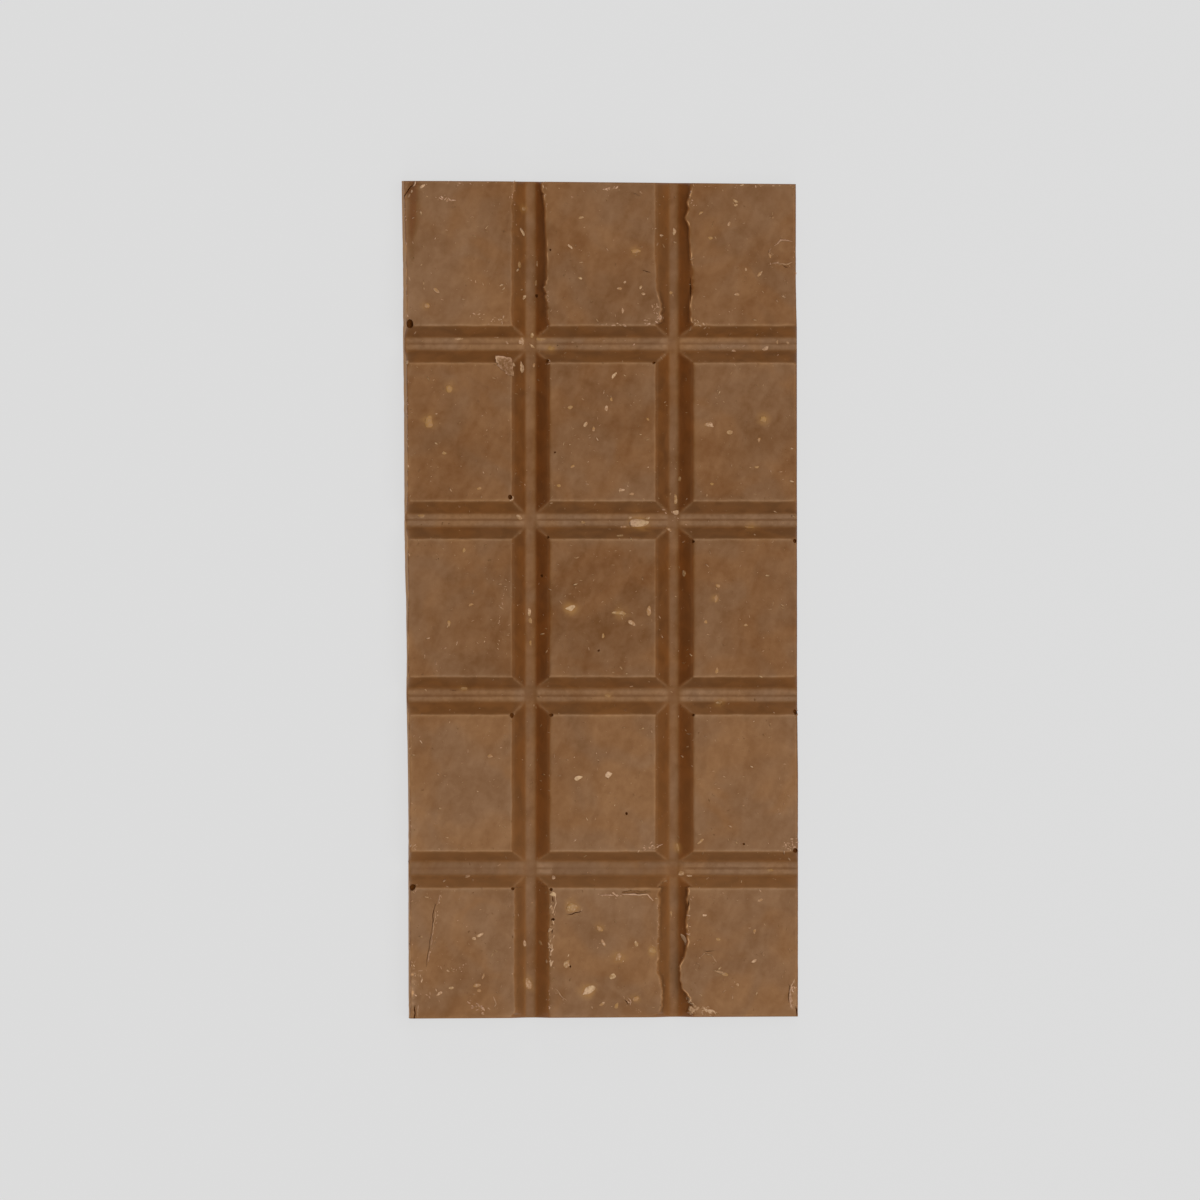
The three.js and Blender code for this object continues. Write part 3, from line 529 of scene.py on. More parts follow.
# The glow round a nut: what counts as pale, the area from which a fainter and a pale nut have one, its
# strength at least and how much more at most, and its reach over the sum of both sizes.
PALE_NUT = 0.6
GLOWING = (1.2, 2.2)
GLOW = (0.4, 0.5)
GLOW_REACH = 0.45

# Tints that multiply a colour: here and there of the chocolate, a painted shade on its walls that face left,
# away from the key light, and of crumbs.
NO_TINT = (1, 1, 1, 1)
WARM_TINT = (1.04, 1, 0.9, 1)
COOL_TINT = (0.965, 1, 1.09, 1)
SHADED_TINT = (1.05, 0.92, 0.76, 1)
YELLOW_TINT = (0.98, 1.01, 0.9, 1)

# Colours of walls under the painted sheen towards the ends, of nut that glows through the chocolate, and of
# the darkest crumbs.
SHEEN_WALL = (0.6, 0.425, 0.26)
NUT_GLOW = (0.57, 0.41, 0.22)
DARK_CRUMB = (0.38, 0.235, 0.08)

# The stage: half the floor and how far it lies below the bar, what the camera looks at, and how high the low
# lights stand over their distance. The camera's film, in millimetres as Blender has it, and how far it sees,
# in metres.
FLOOR_REACH = 12000
FLOOR_GAP = 0.05
VIEW_MIDDLE = (0.05, -0.1)
LOW_LIGHT_RISE = 0.75
FILM_WIDTH = 36
FARTHEST_SEEN = 100


def soft_min(a, b, reach):
    """The smaller of two lengths, with the corner between them rounded over a reach."""
    near = np.maximum(reach - np.abs(a - b), 0) / reach
    return np.minimum(a, b) - near * near * reach / 4


def soft_max(a, b, reach):
    return -soft_min(-a, -b, reach)


def smooth_step(value, low, high):
    share = np.clip((value - low) / (high - low), 0, 1)
    return share * share * (3 - 2 * share)


@functools.cache
def knots(shape, seed):
    return np.random.default_rng(seed).uniform(-1, 1, shape)


def wander(place, length, seed):
    """Smooth random steps between -1 and 1 along a line, one for each length."""
    steps = knots(KNOTS, seed)
    at = np.asarray(place, float) / length + KNOTS
    whole = np.floor(at).astype(int)
    share = smooth_step(at - whole, 0, 1)
    return steps[whole % KNOTS] * (1 - share) + steps[(whole + 1) % KNOTS] * share


def wander_both(x, y, length, seed):
    """The same over a surface."""
    steps = knots((KNOTS, KNOTS), seed)
    at_x, at_y = x / length + KNOTS, y / length + KNOTS
    i, j = np.floor(at_x).astype(int), np.floor(at_y).astype(int)
    a, b = smooth_step(at_x - i, 0, 1), smooth_step(at_y - j, 0, 1)
    i, j, k, m = i % KNOTS, j % KNOTS, (i + 1) % KNOTS, (j + 1) % KNOTS
    return (steps[i, j] * (1 - a) + steps[k, j] * a) * (1 - b) + (steps[i, m] * (1 - a) + steps[k, m] * a) * b


def side_shift(side, place, share):
    """How far a side stands in from the box at a place along it, at a share of the height."""
    stands_in, lean = (np.interp(place, *np.array(table[side]).T) for table in (STANDS_IN, LEAN))
    return stands_in + lean * share


class Groove:
    """One groove of the mould, across its run."""

    def __init__(self, middle, width, low, high, crease_at=0.0, cove=CROSS_COVE):
        self.middle, self.half, self.cove, self.crease_at = middle, width / 2, cove, crease_at
        self.edges = (-low, high)

    def out(self, place):
        """Distance from the middle, and how far the floor reaches on that side."""
        out = place - self.middle
        return out, np.where(out < 0, *self.edges)

    def depth(self, place, full, crease=0.0):
        """How deep the groove is at a place, for a full depth."""
        out, edge = self.out(place)
        wall = full * (self.half - np.abs(out)) / (self.half - edge)
        floor = full - self.cove * np.minimum(np.abs(out) / edge, 1.2) ** 2
        floor = floor + crease * np.clip(1 - np.abs(out - self.crease_at) / CREASE_HALF, 0, 1)
        return soft_max(0, soft_min(wall, floor, FLOOR_FILLET), ARRIS_ROUND)

    def past_arris(self, place):
        """Distance beyond the nearer arris, less than 0 over the groove."""
        return np.abs(place - self.middle) - self.half

    def near_arris(self, place, side):
        """1 at the arris on one side, 0 at the floor and at half a width beyond."""
        out, edge = self.out(place)
        out = side * out
        return smooth_step(out, edge, self.half) * (1 - smooth_step(out, self.half, 2 * self.half))

    def near_lip(self, place, side):
        """The same with a steep step near the top of the wall, as a lip has."""
        out = side * (place - self.middle)
        rise = smooth_step(out, self.half - LIP_FOOT, self.half - LIP_TOP)
        return rise * (1 - smooth_step(out, self.half, 2 * self.half))

    def stations(self):
        """Places of the mesh lines over the groove."""
        for side, edge in zip((-1, 1), self.edges):
            steps = (0, edge, self.half, self.half + BEYOND_ARRIS)
            yield from self.middle + side * np.interp(GROOVE_STATIONS, (0, 1, 3, 4), steps)


LONG = [Groove(*sizes, cove=LONG_COVE) for sizes in LONG_GROOVES]
CROSS = [Groove(*sizes) for sizes in CROSS_GROOVES]


def hump(off, width):
    """1 at no distance, fading over a width."""
    return np.exp(-((off / width) ** 2))


def off_long_floors(x):
    """0 over the floors of the long grooves, which run on through the crossings, and 1 beside them."""
    off = np.min([np.abs(x - groove.middle + FLOOR_ASIDE) for groove in LONG], axis=0)
    return smooth_step(off, *CROSSING)


def crease(x, number):
    """Depth of the crease along a cross groove."""
    depth = CREASE_DEPTH * off_long_floors(x)
    if number == 0:
        for low, high in CREASE_GAPS:
            fades, returns = smooth_step(x, low, low + CREASE_FADE), smooth_step(x, high - CREASE_FADE, high)
            depth *= 1 - fades * (1 - returns)
    return depth


def share_outside(place, half, grooves):
    """0 at the outermost groove's arris and 1 at the bar's side."""
    first, last = grooves[0].middle - grooves[0].half, grooves[-1].middle + grooves[-1].half
    inner, outer = np.where(place < 0, first, last), np.where(place < 0, -half, half)
    return np.maximum(0, (place - inner) / (outer - inner))


def arris_sway(place, along, grooves, seed):
    """How the arrises of a set of grooves wander in and out along their run."""
    shift = np.zeros(np.broadcast(place, along).shape)
    for number, groove in enumerate(grooves):
        for side in (-1, 1):
            share = groove.near_arris(place, side)
            for step, (size, length) in enumerate(WANDERS):
                steps = wander(along, length, seed=(seed, number, side + 1, step))
                shift += side * share * size * steps
    return shift


def lip_reach(y, index):
    """How far a ragged edge stands in over its groove."""
    places, *runs = np.array(sorted(LIPS[index][3])).T
    reach, rough = (np.interp(y, places, run, left=0, right=0) for run in runs)
    for step, (share, length) in enumerate(ROUGH_STEPS):
        reach = reach + rough * share * wander(y, length, seed=(9, index, step))
    return reach


def lip_shift(x, y):
    shift = np.zeros(np.broadcast(x, y).shape)
    for index, (number, side, overhang, _) in enumerate(LIPS):
        near = LONG[number].near_arris(x, side) * (1 - overhang) + LONG[number].near_lip(x, side) * overhang
        shift -= side * near * lip_reach(y, index)
    return shift


def breaking(y, breaks, seed):
    """How strong a line is at places along it, where it breaks off here and there."""
    average, change, length = breaks
    return average + change * wander(y, length, seed)


def pale_line(kind, *beyond):
    """1 on the pale line of an edge, from the distances beyond each such edge."""
    middle, width = PALE_LINES[kind]
    return hump(np.min([np.abs(off - middle) for off in beyond], axis=0), width)


def lip_highlight_and_wear(x, y):
    """A pale line along the lips, a painted highlight with wear, which breaks off here and there."""
    wear_and_sheen = np.zeros(np.broadcast(x, y).shape)
    for index, (number, side, overhang, _) in enumerate(LIPS):
        beyond = side * (x - LONG[number].middle) - LONG[number].half
        stands = smooth_step(lip_reach(y, index), *LIP_LINE)
        broken = breaking(y, LIP_BREAKS, seed=(12, index))
        wear_and_sheen = np.maximum(wear_and_sheen, LIP_HIGHLIGHT_AND_WEAR * overhang**0.5 * stands * broken * pale_line("lip", beyond))
    return wear_and_sheen


def arris_highlight_and_wear(x, y, long, cross):
    """Pale lines at the left arrises of the long grooves and at both arrises of the cross grooves: painted
    highlights with wear.
    """
    long_line = pale_line("long arris", *(groove.middle - groove.half - x for groove in LONG))
    cross_line = pale_line("cross arris", *(groove.past_arris(y) for groove in CROSS))
    near_long = LONG_ARRIS_HIGHLIGHT_AND_WEAR * long_line * (1 - smooth_step(cross, *LINE_FADES))
    return np.maximum(near_long, CROSS_ARRIS_HIGHLIGHT_AND_WEAR * cross_line * (1 - smooth_step(long, *LINE_FADES)))


def floor_sheen(x, y, long, cross):
    """Painted sheen in bands beside the creases, and a little painted highlight on the floors of the long
    grooves.
    """
    floor = FLOOR_SHEEN * off_long_floors(x) * (cross >= long)
    for number, groove in enumerate(CROSS):
        off = np.abs(y - groove.middle - groove.crease_at)
        share = BAND_WITHOUT_CREASE + (1 - BAND_WITHOUT_CREASE) * crease(x, number) / CREASE_DEPTH
        near = smooth_step(off, *BAND_START) * (1 - smooth_step(off, *BAND_END))
        floor = np.where(off < groove.half, floor * share * near, floor)
    return np.where(cross > 1, floor, LONG_FLOOR_HIGHLIGHT * smooth_step(long, *LONG_FLOOR))


class MouldedForm:
    """The bar as a surface over the X and Y of an undistorted box, in millimetres."""

    def __init__(self, sizes):
        self.half_x = sizes.width / MM / 2
        self.half_y = sizes.length / MM / 2
        self.height = sizes.height / MM
        self.groove_depth = sizes.groove_depth / MM
        self.rim_round = sizes.rim_round / MM

    def long_and_cross(self, x, y):
        """Depths of the grooves that run each way."""
        long = np.max([groove.depth(x, self.groove_depth) for groove in LONG], axis=0)
        cross = np.max([g.depth(y, self.groove_depth, crease(x, k)) for k, g in enumerate(CROSS)], axis=0)
        return long, cross

    def grooves(self, x, y):
        long, cross = self.long_and_cross(x, y)
        return soft_max(long, cross, MITRE_SHARE * np.minimum(long, cross) + 0.01)

    def rim_drop(self, distance):
        inside = np.clip(self.rim_round - distance, 0, self.rim_round)
        return self.rim_round - np.sqrt(self.rim_round**2 - inside**2)

    def slump(self, x, y):
        deep = smooth_step(y, SLUMP["from"], SLUMP["to"])
        reach = np.interp(y, (SLUMP["from"], SLUMP["end"]), (SLUMP["narrow"], SLUMP["wide"]))
        across = 1 - smooth_step((x + self.half_x) / reach, SLUMP["ledge"], 1)
        tip = (TIP["x"] - x) / TIP["across"] + (y - TIP["y"]) / TIP["along"] + 1
        return SLUMP["drop"] * deep * across + TIP["drop"] * smooth_step(tip, *TIP["step"])

    def surface(self, x, y):
        """Height of the moulded face."""
        rim = self.rim_drop(self.half_x - np.abs(x)) + self.rim_drop(self.half_y - np.abs(y))
        waves = sum(high * (wander_both(x, y, length, seed) - 1) for seed, (high, length) in enumerate(WAVES))
        return self.height - self.grooves(x, y) - rim - self.slump(x, y) + waves

    def placed(self, x, y, z):
        """Where a point of the undistorted box really is: skewed and leaning."""
        share = z / self.height
        shift = {side: side_shift(side, y if side in ("left", "right") else x, share) for side in LEAN}
        shift_x = share_outside(x, self.half_x, LONG) * np.where(x < 0, shift["left"], -shift["right"])
        shift_y = share_outside(y, self.half_y, CROSS) * np.where(y < 0, shift["front"], -shift["back"])
        return np.stack([x + shift_x, y + shift_y, z + 0 * x], axis=-1)

    def shaped(self, x, y, z):
        """The same, with the wander of the arrises and the lips."""
        point = self.placed(x, y, z)
        point[..., 0] += lip_shift(x, y) + arris_sway(x, y, LONG, seed=3)
        point[..., 1] += arris_sway(y, x, CROSS, seed=4)
        return point

    def on_surface(self, x, y):
        return self.shaped(x, y, self.surface(x, y))

    def undistorted(self, x, y):
        """Where on the undistorted box a place of the finished moulded face comes from."""
        at_x, at_y = np.array(x, float), np.array(y, float)
        for _ in range(ROUNDS):
            point = self.on_surface(at_x, at_y)
            at_x = np.clip(at_x + ROUND_SHARE * (x - point[..., 0]), -self.half_x, self.half_x)
            at_y = np.clip(at_y + ROUND_SHARE * (y - point[..., 1]), -self.half_y, self.half_y)
        return at_x, at_y

    def normal(self, x, y, step=0.08):
        slope_x = (self.surface(x + step, y) - self.surface(x - step, y)) / (2 * step)
        slope_y = (self.surface(x, y + step) - self.surface(x, y - step)) / (2 * step)
        normal = np.stack([-slope_x, -slope_y, np.ones_like(slope_x)], axis=-1)
        return normal / np.linalg.norm(normal, axis=-1, keepdims=True)

    def edge_wear_and_sheen(self, x, y):
        """How pale the form is made: painted highlights with wear on arrises, rims and lips, painted
        highlights on mitres, painted sheen on floors, and wear, more of it, on the left rim.
        """
        long, cross = self.long_and_cross(x, y)
        rim = np.minimum(self.half_x - np.abs(x), self.half_y - np.abs(y))
        arris = arris_highlight_and_wear(x, y, long, cross) * (rim > CLOSE_TO_RIM)
        # A painted highlight with wear along the rim.
        edge = RIM_HIGHLIGHT_AND_WEAR * pale_line("rim", rim) * (np.maximum(long, cross) < BRINK)
        left = LEFT_RIM_WEAR * np.exp(-(x + self.half_x) / LEFT_REACH) * breaking(y, LEFT_BREAKS, seed=15)
        # A painted highlight along the mitre ridges.
        mitre = MITRE_HIGHLIGHT * hump(long - cross, MITRE_LINE) * smooth_step(long, *MITRE_STARTS)
        mitre *= 1 - smooth_step(long, *(self.groove_depth - end for end in MITRE_ENDS))
        return np.max([arris, edge, left, mitre, floor_sheen(x, y, long, cross), lip_highlight_and_wear(x, y)], axis=0)


def haloed(points):
    """How strongly the nut below shows through at each point, round each of the larger nuts."""
    halo = np.zeros(len(points))
    for x, y, length, width, _, tone in NUTS:
        if length * width > GLOWING[tone >= PALE_NUT]:
            off = np.hypot(points[:, 0] - x, points[:, 1] - y)
            halo = np.maximum(halo, (GLOW[0] + GLOW[1] * tone) * hump(off, GLOW_REACH * (length + width)))
    return halo


def scuffed(points):
    """How strongly each point is scuffed pale."""
    at_x, at_y, _ = points.T
    average, change, length = SCUFF_BREAKS
    broken = average + change * wander_both(at_x + OTHER_STRETCH, at_y + OTHER_STRETCH, length, seed=77)
    wear_and_sheen = np.zeros(len(points))
    for x, y, reach_x, reach_y, strength in SCUFFS:
        off = ((at_x - x) / reach_x) ** 2 + ((at_y - y) / reach_y) ** 2
        wear_and_sheen = np.maximum(wear_and_sheen, strength * broken * (1 - smooth_step(off, *SCUFF_FADES)))
    return wear_and_sheen


def mesh_lines(half, grooves, step_at):
    """Places of the mesh lines in one direction: at the rims, at each groove's stations, and between."""
    rims = [side * (half - inset) for inset in RIM_STATIONS for side in (-1, 1)]
    fixed = np.unique(np.round(rims + [place for groove in grooves for place in groove.stations()], 4))
    lines = []
    for low, high in zip(fixed[:-1], fixed[1:]):
        parts = max(1, round((high - low) / step_at(low)))
        lines.extend(np.linspace(low, high, parts, endpoint=False))
    return np.array(lines + [half])


def end_row_step(y):
    return END_ROW_STEP if y < CROSS[0].middle or y > CROSS[-1].middle else SQUARE_STEP


def new_object(name, points, faces):
    """A smooth mesh object from points in millimetres."""
    mesh = bpy.data.meshes.new(name)
    mesh.from_pydata((np.asarray(points) * MM).tolist(), [], [tuple(f) for f in faces])
    mesh.validate()
    mesh.shade_smooth()
    piece = bpy.data.objects.new(name, mesh)
    bpy.context.scene.collection.objects.link(piece)
    return piece


def add_shape(piece, points, faces, tones):
    """Adds a closed shape with its paleness to a scattered piece."""
    made = bmesh.new()
    made.from_mesh(piece.data)
    layer = made.verts.layers.float["tone"]
    corners = [made.verts.new(point * MM) for point in points]
    for corner, tone in zip(corners, tones):
        corner[layer] = tone
    for face in faces:
        made.faces.new([corners[k] for k in face]).smooth = True
    made.to_mesh(piece.data)
    made.free()


def set_attribute(mesh, name, values):
    attribute = mesh.attributes.new(name, "FLOAT", "POINT")
    attribute.data.foreach_set("value", np.ascontiguousarray(values, np.float32))


def off_middle(places, grooves):
    """Distance of each place from the middle of the groove nearest to it."""
    off = places[:, None] - [groove.middle for groove in grooves]
    return off[np.arange(len(places)), np.abs(off).argmin(1)]


def top_faces(across, along, index):
    """Two triangles for each cell of the moulded face, cut so that they follow the mitres."""
    a, b, c, d = index[:-1, :-1], index[:-1, 1:], index[1:, 1:], index[1:, :-1]
    middle_x, middle_y = (across[1:] + across[:-1]) / 2, (along[1:] + along[:-1]) / 2
    upward = (off_middle(middle_y, CROSS)[:, None] * off_middle(middle_x, LONG)[None, :] > 0)[..., None]
    first = np.where(upward, np.stack([a, b, c], -1), np.stack([a, b, d], -1))
    second = np.where(upward, np.stack([a, c, d], -1), np.stack([b, c, d], -1))
    return [first.reshape(-1, 3), second.reshape(-1, 3)]


def side_faces(upper, lower):
    """Two triangles for each step round the bar, between an upper and a lower ring."""
    upper_next, lower_next = np.roll(upper, -1), np.roll(lower, -1)
    return [np.stack([upper, lower, lower_next], -1), np.stack([upper, lower_next, upper_next], -1)]


def side_ring(form, x, y, height, share, outward):
    """Points of one ring round the sides, at a share of the way down from the moulded face."""
    spot = form.shaped(x, y, height) * (1 - share) + form.placed(x, y, height) * share
    run = np.linspace(0, 4 * (form.half_x + form.half_y), len(x), endpoint=False)
    bulge = sum(size * wander_both(run, height * 2, step, seed=40 + number)
                for number, (size, step) in enumerate(SIDE_WANDERS))
    spot[:, :2] += outward * (np.minimum(bulge, 0) * np.sin(share * np.pi / 2))[:, None]
    return spot


def slab(form):
    """Points, faces, and the wear with painted highlights and sheen, of the closed bar without its bubbles
    and cracks.
    """
    across = mesh_lines(form.half_x, LONG, lambda x: SQUARE_STEP)
    along = mesh_lines(form.half_y, CROSS, end_row_step)
    x, y = np.meshgrid(across, along)
    index = np.arange(x.size).reshape(x.shape)
    points = [form.on_surface(x, y).reshape(-1, 3)]
    wear_and_sheen = [np.maximum(form.edge_wear_and_sheen(x, y).ravel(), scuffed(points[0]))]
    faces = top_faces(across, along, index)

    edge = np.concatenate([index[0, :], index[1:, -1], index[-1, -2::-1], index[-2:0:-1, 0]])
    ring_x, ring_y = x.ravel()[edge], y.ravel()[edge]
    outward = np.stack([np.sign(ring_x) * (np.abs(ring_x) > form.half_x - HAIR),
                        np.sign(ring_y) * (np.abs(ring_y) > form.half_y - HAIR)], -1)
    for share in np.arange(1, SIDE_RINGS + 1) / SIDE_RINGS:
        height = points[0][edge, 2] * (1 - share) + BACK_ROUND * share
        points.append(side_ring(form, ring_x, ring_y, height, share, outward))
        blotches = 1 + sum(size * wander_both(ring_y, height, length, seed=16 + number)
                           for number, (size, length) in enumerate(SIDE_BLOTCHES))
        wear_and_sheen.append(np.where(outward[:, 0] < 0, LEFT_WEAR * blotches, SIDE_WEAR))
    foot_x, foot_y = ring_x * (1 - BACK_ROUND / form.half_x), ring_y * (1 - BACK_ROUND / form.half_y)
    points += [form.placed(foot_x, foot_y, 0 * ring_x), np.zeros((1, 3))]
    wear_and_sheen.append(np.zeros(len(edge) + 1))

    rings = [edge, *(index.size + np.arange((SIDE_RINGS + 1) * len(edge)).reshape(-1, len(edge)))]
    for upper, lower in zip(rings[:-1], rings[1:]):
        faces += side_faces(upper, lower)
    centre = np.full(len(edge), rings[-1][-1] + 1)
    faces.append(np.stack([rings[-1], centre, np.roll(rings[-1], -1)], -1))
    return np.concatenate(points), np.concatenate(faces), np.concatenate(wear_and_sheen)


def ball(detail):
    """Points and faces of a unit ball of triangles."""
    made = bmesh.new()
    bmesh.ops.create_icosphere(made, subdivisions=detail, radius=1)
    points = np.array([v.co for v in made.verts])
    faces = np.array([[v.index for v in f.verts] for f in made.faces])
    made.free()
    return points, faces


def lying(form, x, y, turn, sunk):
    """Origins of things on the surface and their three directions, which keep their outlines from above."""
    x, y = form.undistorted(x, y)
    normal = form.normal(x, y)
    turn = np.radians(turn)
    flat = np.array([[np.cos(turn), np.sin(turn)], [-np.sin(turn), np.cos(turn)]])
    rise = -(normal[:, :2].T * flat).sum(1) / normal[:, 2]
    along, across = np.concatenate([flat, rise[:, None]], 1).transpose(0, 2, 1)
    return form.on_surface(x, y) - normal * sunk[:, None], np.stack([along, across, normal], 1)


def chipped(points, chooser):
    """A ball with flat faces broken off it, most of them steep, as a piece of nut has."""
    for _ in range(CHIPS):
        normal = chooser.normal(size=3) * (1, 1, 0.5)
        normal /= np.linalg.norm(normal)
        over = np.maximum(points @ normal - chooser.uniform(*CHIP_CUTS), 0)
        points = points - over[:, None] * normal
    return points


def bare_share(tone):
    """How much of a piece's length lies bare: less of it where it shows less pale."""
    return BARE_LEAST + (1 - BARE_LEAST) * np.clip(tone, 0, 1) ** 0.5


def in_bubble(x, y):
    """Whether places lie over a burst bubble."""
    off = [((x - at_x) / size_x) ** 2 + ((y - at_y) / size_y) ** 2 for at_x, at_y, size_x, size_y in BUBBLES]
    return np.min(off, axis=0) < BUBBLE_FREE


def scattered(name, form, spots, chooser):
    """One mesh of many broken pieces that lie half sunk in the surface, veiled round their rims."""
    detail, roughness, thickness, sunk = PIECES[name]
    template, template_faces = ball(detail)
    veil = 0.5 + 0.5 * smooth_step(template[:, 2], *VEIL_ENDS)
    places = np.array(spots, float)
    x, y, lengths, widths, turns, tone = places[~in_bubble(places[:, 0], places[:, 1])].T
    widths = widths * bare_share(tone) * np.interp(lengths, *SLIMMER)
    lengths = lengths * bare_share(tone)
    origins, directions = lying(form, x, y, turns, sunk * widths)
    # Painted light: pieces on steep walls are made paler, against the shade there.
    tone = tone + WALL_TONE * (1 - directions[:, 2, 2]) * (tone > 0)
    points, faces = [], []
    for number, (length, width) in enumerate(zip(lengths, widths)):
        shape = chipped(template, chooser)
        shape = shape * (1 + roughness * chooser.uniform(-1, 1, (len(shape), 1)))
        shape = shape * (HALF_SIZE * length, HALF_SIZE * width, thickness * width)
        points.append(shape @ directions[number] + origins[number])
        faces.append(template_faces + number * len(template))
    tones = tone[:, None] * veil
    piece = new_object(name, np.concatenate(points), np.concatenate(faces))
    set_attribute(piece.data, "tone", tones.ravel())
    return piece


def bubble_shapes(form, spots, chooser):
    """Lumpy pits of burst air bubbles, as closed shapes to cut out."""
    template, faces = ball(3)
    x, y, size_x, size_y = np.array(spots, float).T
    deep = BUBBLE_DEPTH * (size_x + size_y)
    origins, _ = lying(form, x, y, 0 * x, 0 * deep)
    for origin, *sizes in zip(origins, size_x / 2, size_y / 2, deep):
        waves = template @ chooser.normal(size=(3, 1)) * 2 + chooser.uniform(0, 6)
        yield template * (1 + BUBBLE_LUMPS * np.sin(waves)) * sizes + origin, faces


def bubble_rim(x, y, size_x, size_y):
    """The line of the rim of a bubble where scraps cling: its right and its front."""
    turns = np.radians(np.linspace(*SCRAPPY_ARC, 6))
    reach_x, reach_y = SCRAPPY_RADIUS * size_x, SCRAPPY_RADIUS * size_y
    return np.stack([x + reach_x * np.cos(turns), y + reach_y * np.sin(turns)], -1)


def wedge(form, width, base_height, tip_height, route, seed):
    """A closed thin wedge along a line on the face, which tapers to nothing at both ends."""
    at, x, y = along_route(route, WEDGE_STEP)
    heading = np.stack([np.gradient(x), np.gradient(y)], -1)
    heading /= np.linalg.norm(heading, axis=1, keepdims=True)
    across = np.stack([-heading[:, 1], heading[:, 0]], -1)
    (sway, sway_length), (uneven, uneven_length) = WEDGE_SWAY, WEDGE_UNEVEN
    x, y = np.stack([x, y]) + across.T * sway * wander(at, sway_length, seed)
    share = np.sin(np.linspace(WEDGE_BLUNT, np.pi - WEDGE_BLUNT, len(at))) ** 0.5
    spread = width * share * (1 + uneven * wander(at, uneven_length, seed + 1))
    base = form.on_surface(*form.undistorted(x, y))
    points = []
    for side, height in ((-WEDGE_HALF, base_height), (WEDGE_HALF, base_height), (0, tip_height * share)):
        point = base.copy()
        point[:, :2] += across * (side * spread)[:, None]
        point[:, 2] += height
        points.append(point)
    step = 3 * np.arange(len(at) - 1)
    faces = [[(0, 2, 1)], [(3 * len(at) - 3, 3 * len(at) - 2, 3 * len(at) - 1)]]
    for a, b in ((0, 1), (1, 2), (2, 0)):
        faces.append(np.stack([step + a, step + b, step + 3 + b], -1))
        faces.append(np.stack([step + a, step + 3 + b, step + 3 + a], -1))
    return np.stack(points, 1).reshape(-1, 3), np.concatenate(faces)


def along_route(route, step):
    """Distances along a line of points, and the places there."""
    route = np.array(route, float)
    lengths = np.r_[0, np.cumsum(np.linalg.norm(np.diff(route, axis=0), axis=1))]
    at = np.linspace(0, lengths[-1], max(6, int(lengths[-1] / step)))
    return at, np.interp(at, lengths, route[:, 0]), np.interp(at, lengths, route[:, 1])


def joined(shapes):
    """Points and faces of many shapes as one."""
    points, faces, total = [], [], 0
    for shape_points, shape_faces in shapes:
        points.append(shape_points)
        faces.append(np.asarray(shape_faces) + total)
        total += len(shape_points)
    return np.concatenate(points), np.concatenate(faces)


def cut_away(piece, shapes):
    """Cuts closed shapes out of a closed piece, and marks what the cuts laid bare."""
    cutter = new_object("cutter", *joined(shapes))
    made = bmesh.new()
    made.from_mesh(cutter.data)
    bmesh.ops.recalc_face_normals(made, faces=made.faces)
    made.to_mesh(cutter.data)
    made.free()
    set_attribute(piece.data, "pit", np.zeros(len(piece.data.vertices)))
    set_attribute(cutter.data, "pit", np.ones(len(cutter.data.vertices)))
    cut = piece.modifiers.new("Cut", "BOOLEAN")
    cut.operation = "DIFFERENCE"
    cut.solver = "MANIFOLD"
    cut.object = cutter
    whole = piece.evaluated_get(bpy.context.evaluated_depsgraph_get())
    made = bpy.data.meshes.new_from_object(whole)
    piece.modifiers.clear()
    piece.data = made
    bpy.data.objects.remove(cutter)


def broken_plate(form, outline, seed):
    """A plate that has broken and tilted up: points, faces and how pale each point is."""
    outline = np.array(outline, float)
    at = np.arange(len(outline) * PLATE_STEPS) / PLATE_STEPS
    corners = np.arange(len(outline) + 1)
    rim = np.stack([np.interp(at, corners, np.r_[column, column[:1]]) for column in outline.T], -1)
    rim[:, 0] += PLATE_RAG * wander(at, PLATE_NICK, seed)
    rim[:, 1] += PLATE_RAG * wander(at, PLATE_NICK, seed + 1)
    middle = rim.mean(0)
    points, tones = [], []
    for share in PLATE_RINGS:
        spot = middle + (rim - middle) * share
        x, y = spot[:, 0] + OTHER_STRETCH, spot[:, 1] + OTHER_STRETCH
        rough = sum(size * wander_both(x, y, length, seed + 3 * step)
                    for step, (size, length) in enumerate(PLATE_WAVES))
        high = np.minimum(spot[:, 2] + PLATE_ROUGH * rough * min(1, 2 * (1 - share) + 0.2), PLATE_TOP)
        points.append(np.stack([spot[:, 0], spot[:, 1], form.height + high], -1))
        lit = smooth_step(spot[:, 1] - spot[:, 0], *PLATE_LIT)
        at_rim = (PLATE_TONES["rim"] + PLATE_TONES["lit rim"] * lit) * share**4
        tones.append(PLATE_TONES["flat"] + PLATE_TONES["rough"] * np.maximum(rough, 0) + at_rim)
    under = points[0] - (0, 0, PLATE_THICKNESS)
    under[:, :2] += (middle[:2] - under[:, :2]) * PLATE_UNDERCUT
    centre = middle + (0, 0, form.height)
    points += [[centre], under, [centre - (0, 0, PLATE_THICKNESS)]]
    tones += [[PLATE_TONES["middle"]], np.full(len(rim) + 1, PLATE_TONES["under"])]

    rings = np.arange(len(PLATE_RINGS) * len(rim)).reshape(-1, len(rim))
    top = np.full(len(rim), rings.size)
    low = rings.size + 1 + np.arange(len(rim))
    faces = []
    for outer, inner in zip(rings[:-1], rings[1:]):
        faces += side_faces(inner, outer)
    faces.append(np.stack([rings[-1], np.roll(rings[-1], -1), top], -1))
    faces += side_faces(rings[0], low)
    faces.append(np.stack([np.roll(low, -1), low, top + len(rim) + 1], -1))
    return np.concatenate(points), np.concatenate(faces), np.concatenate(tones)


# Materials


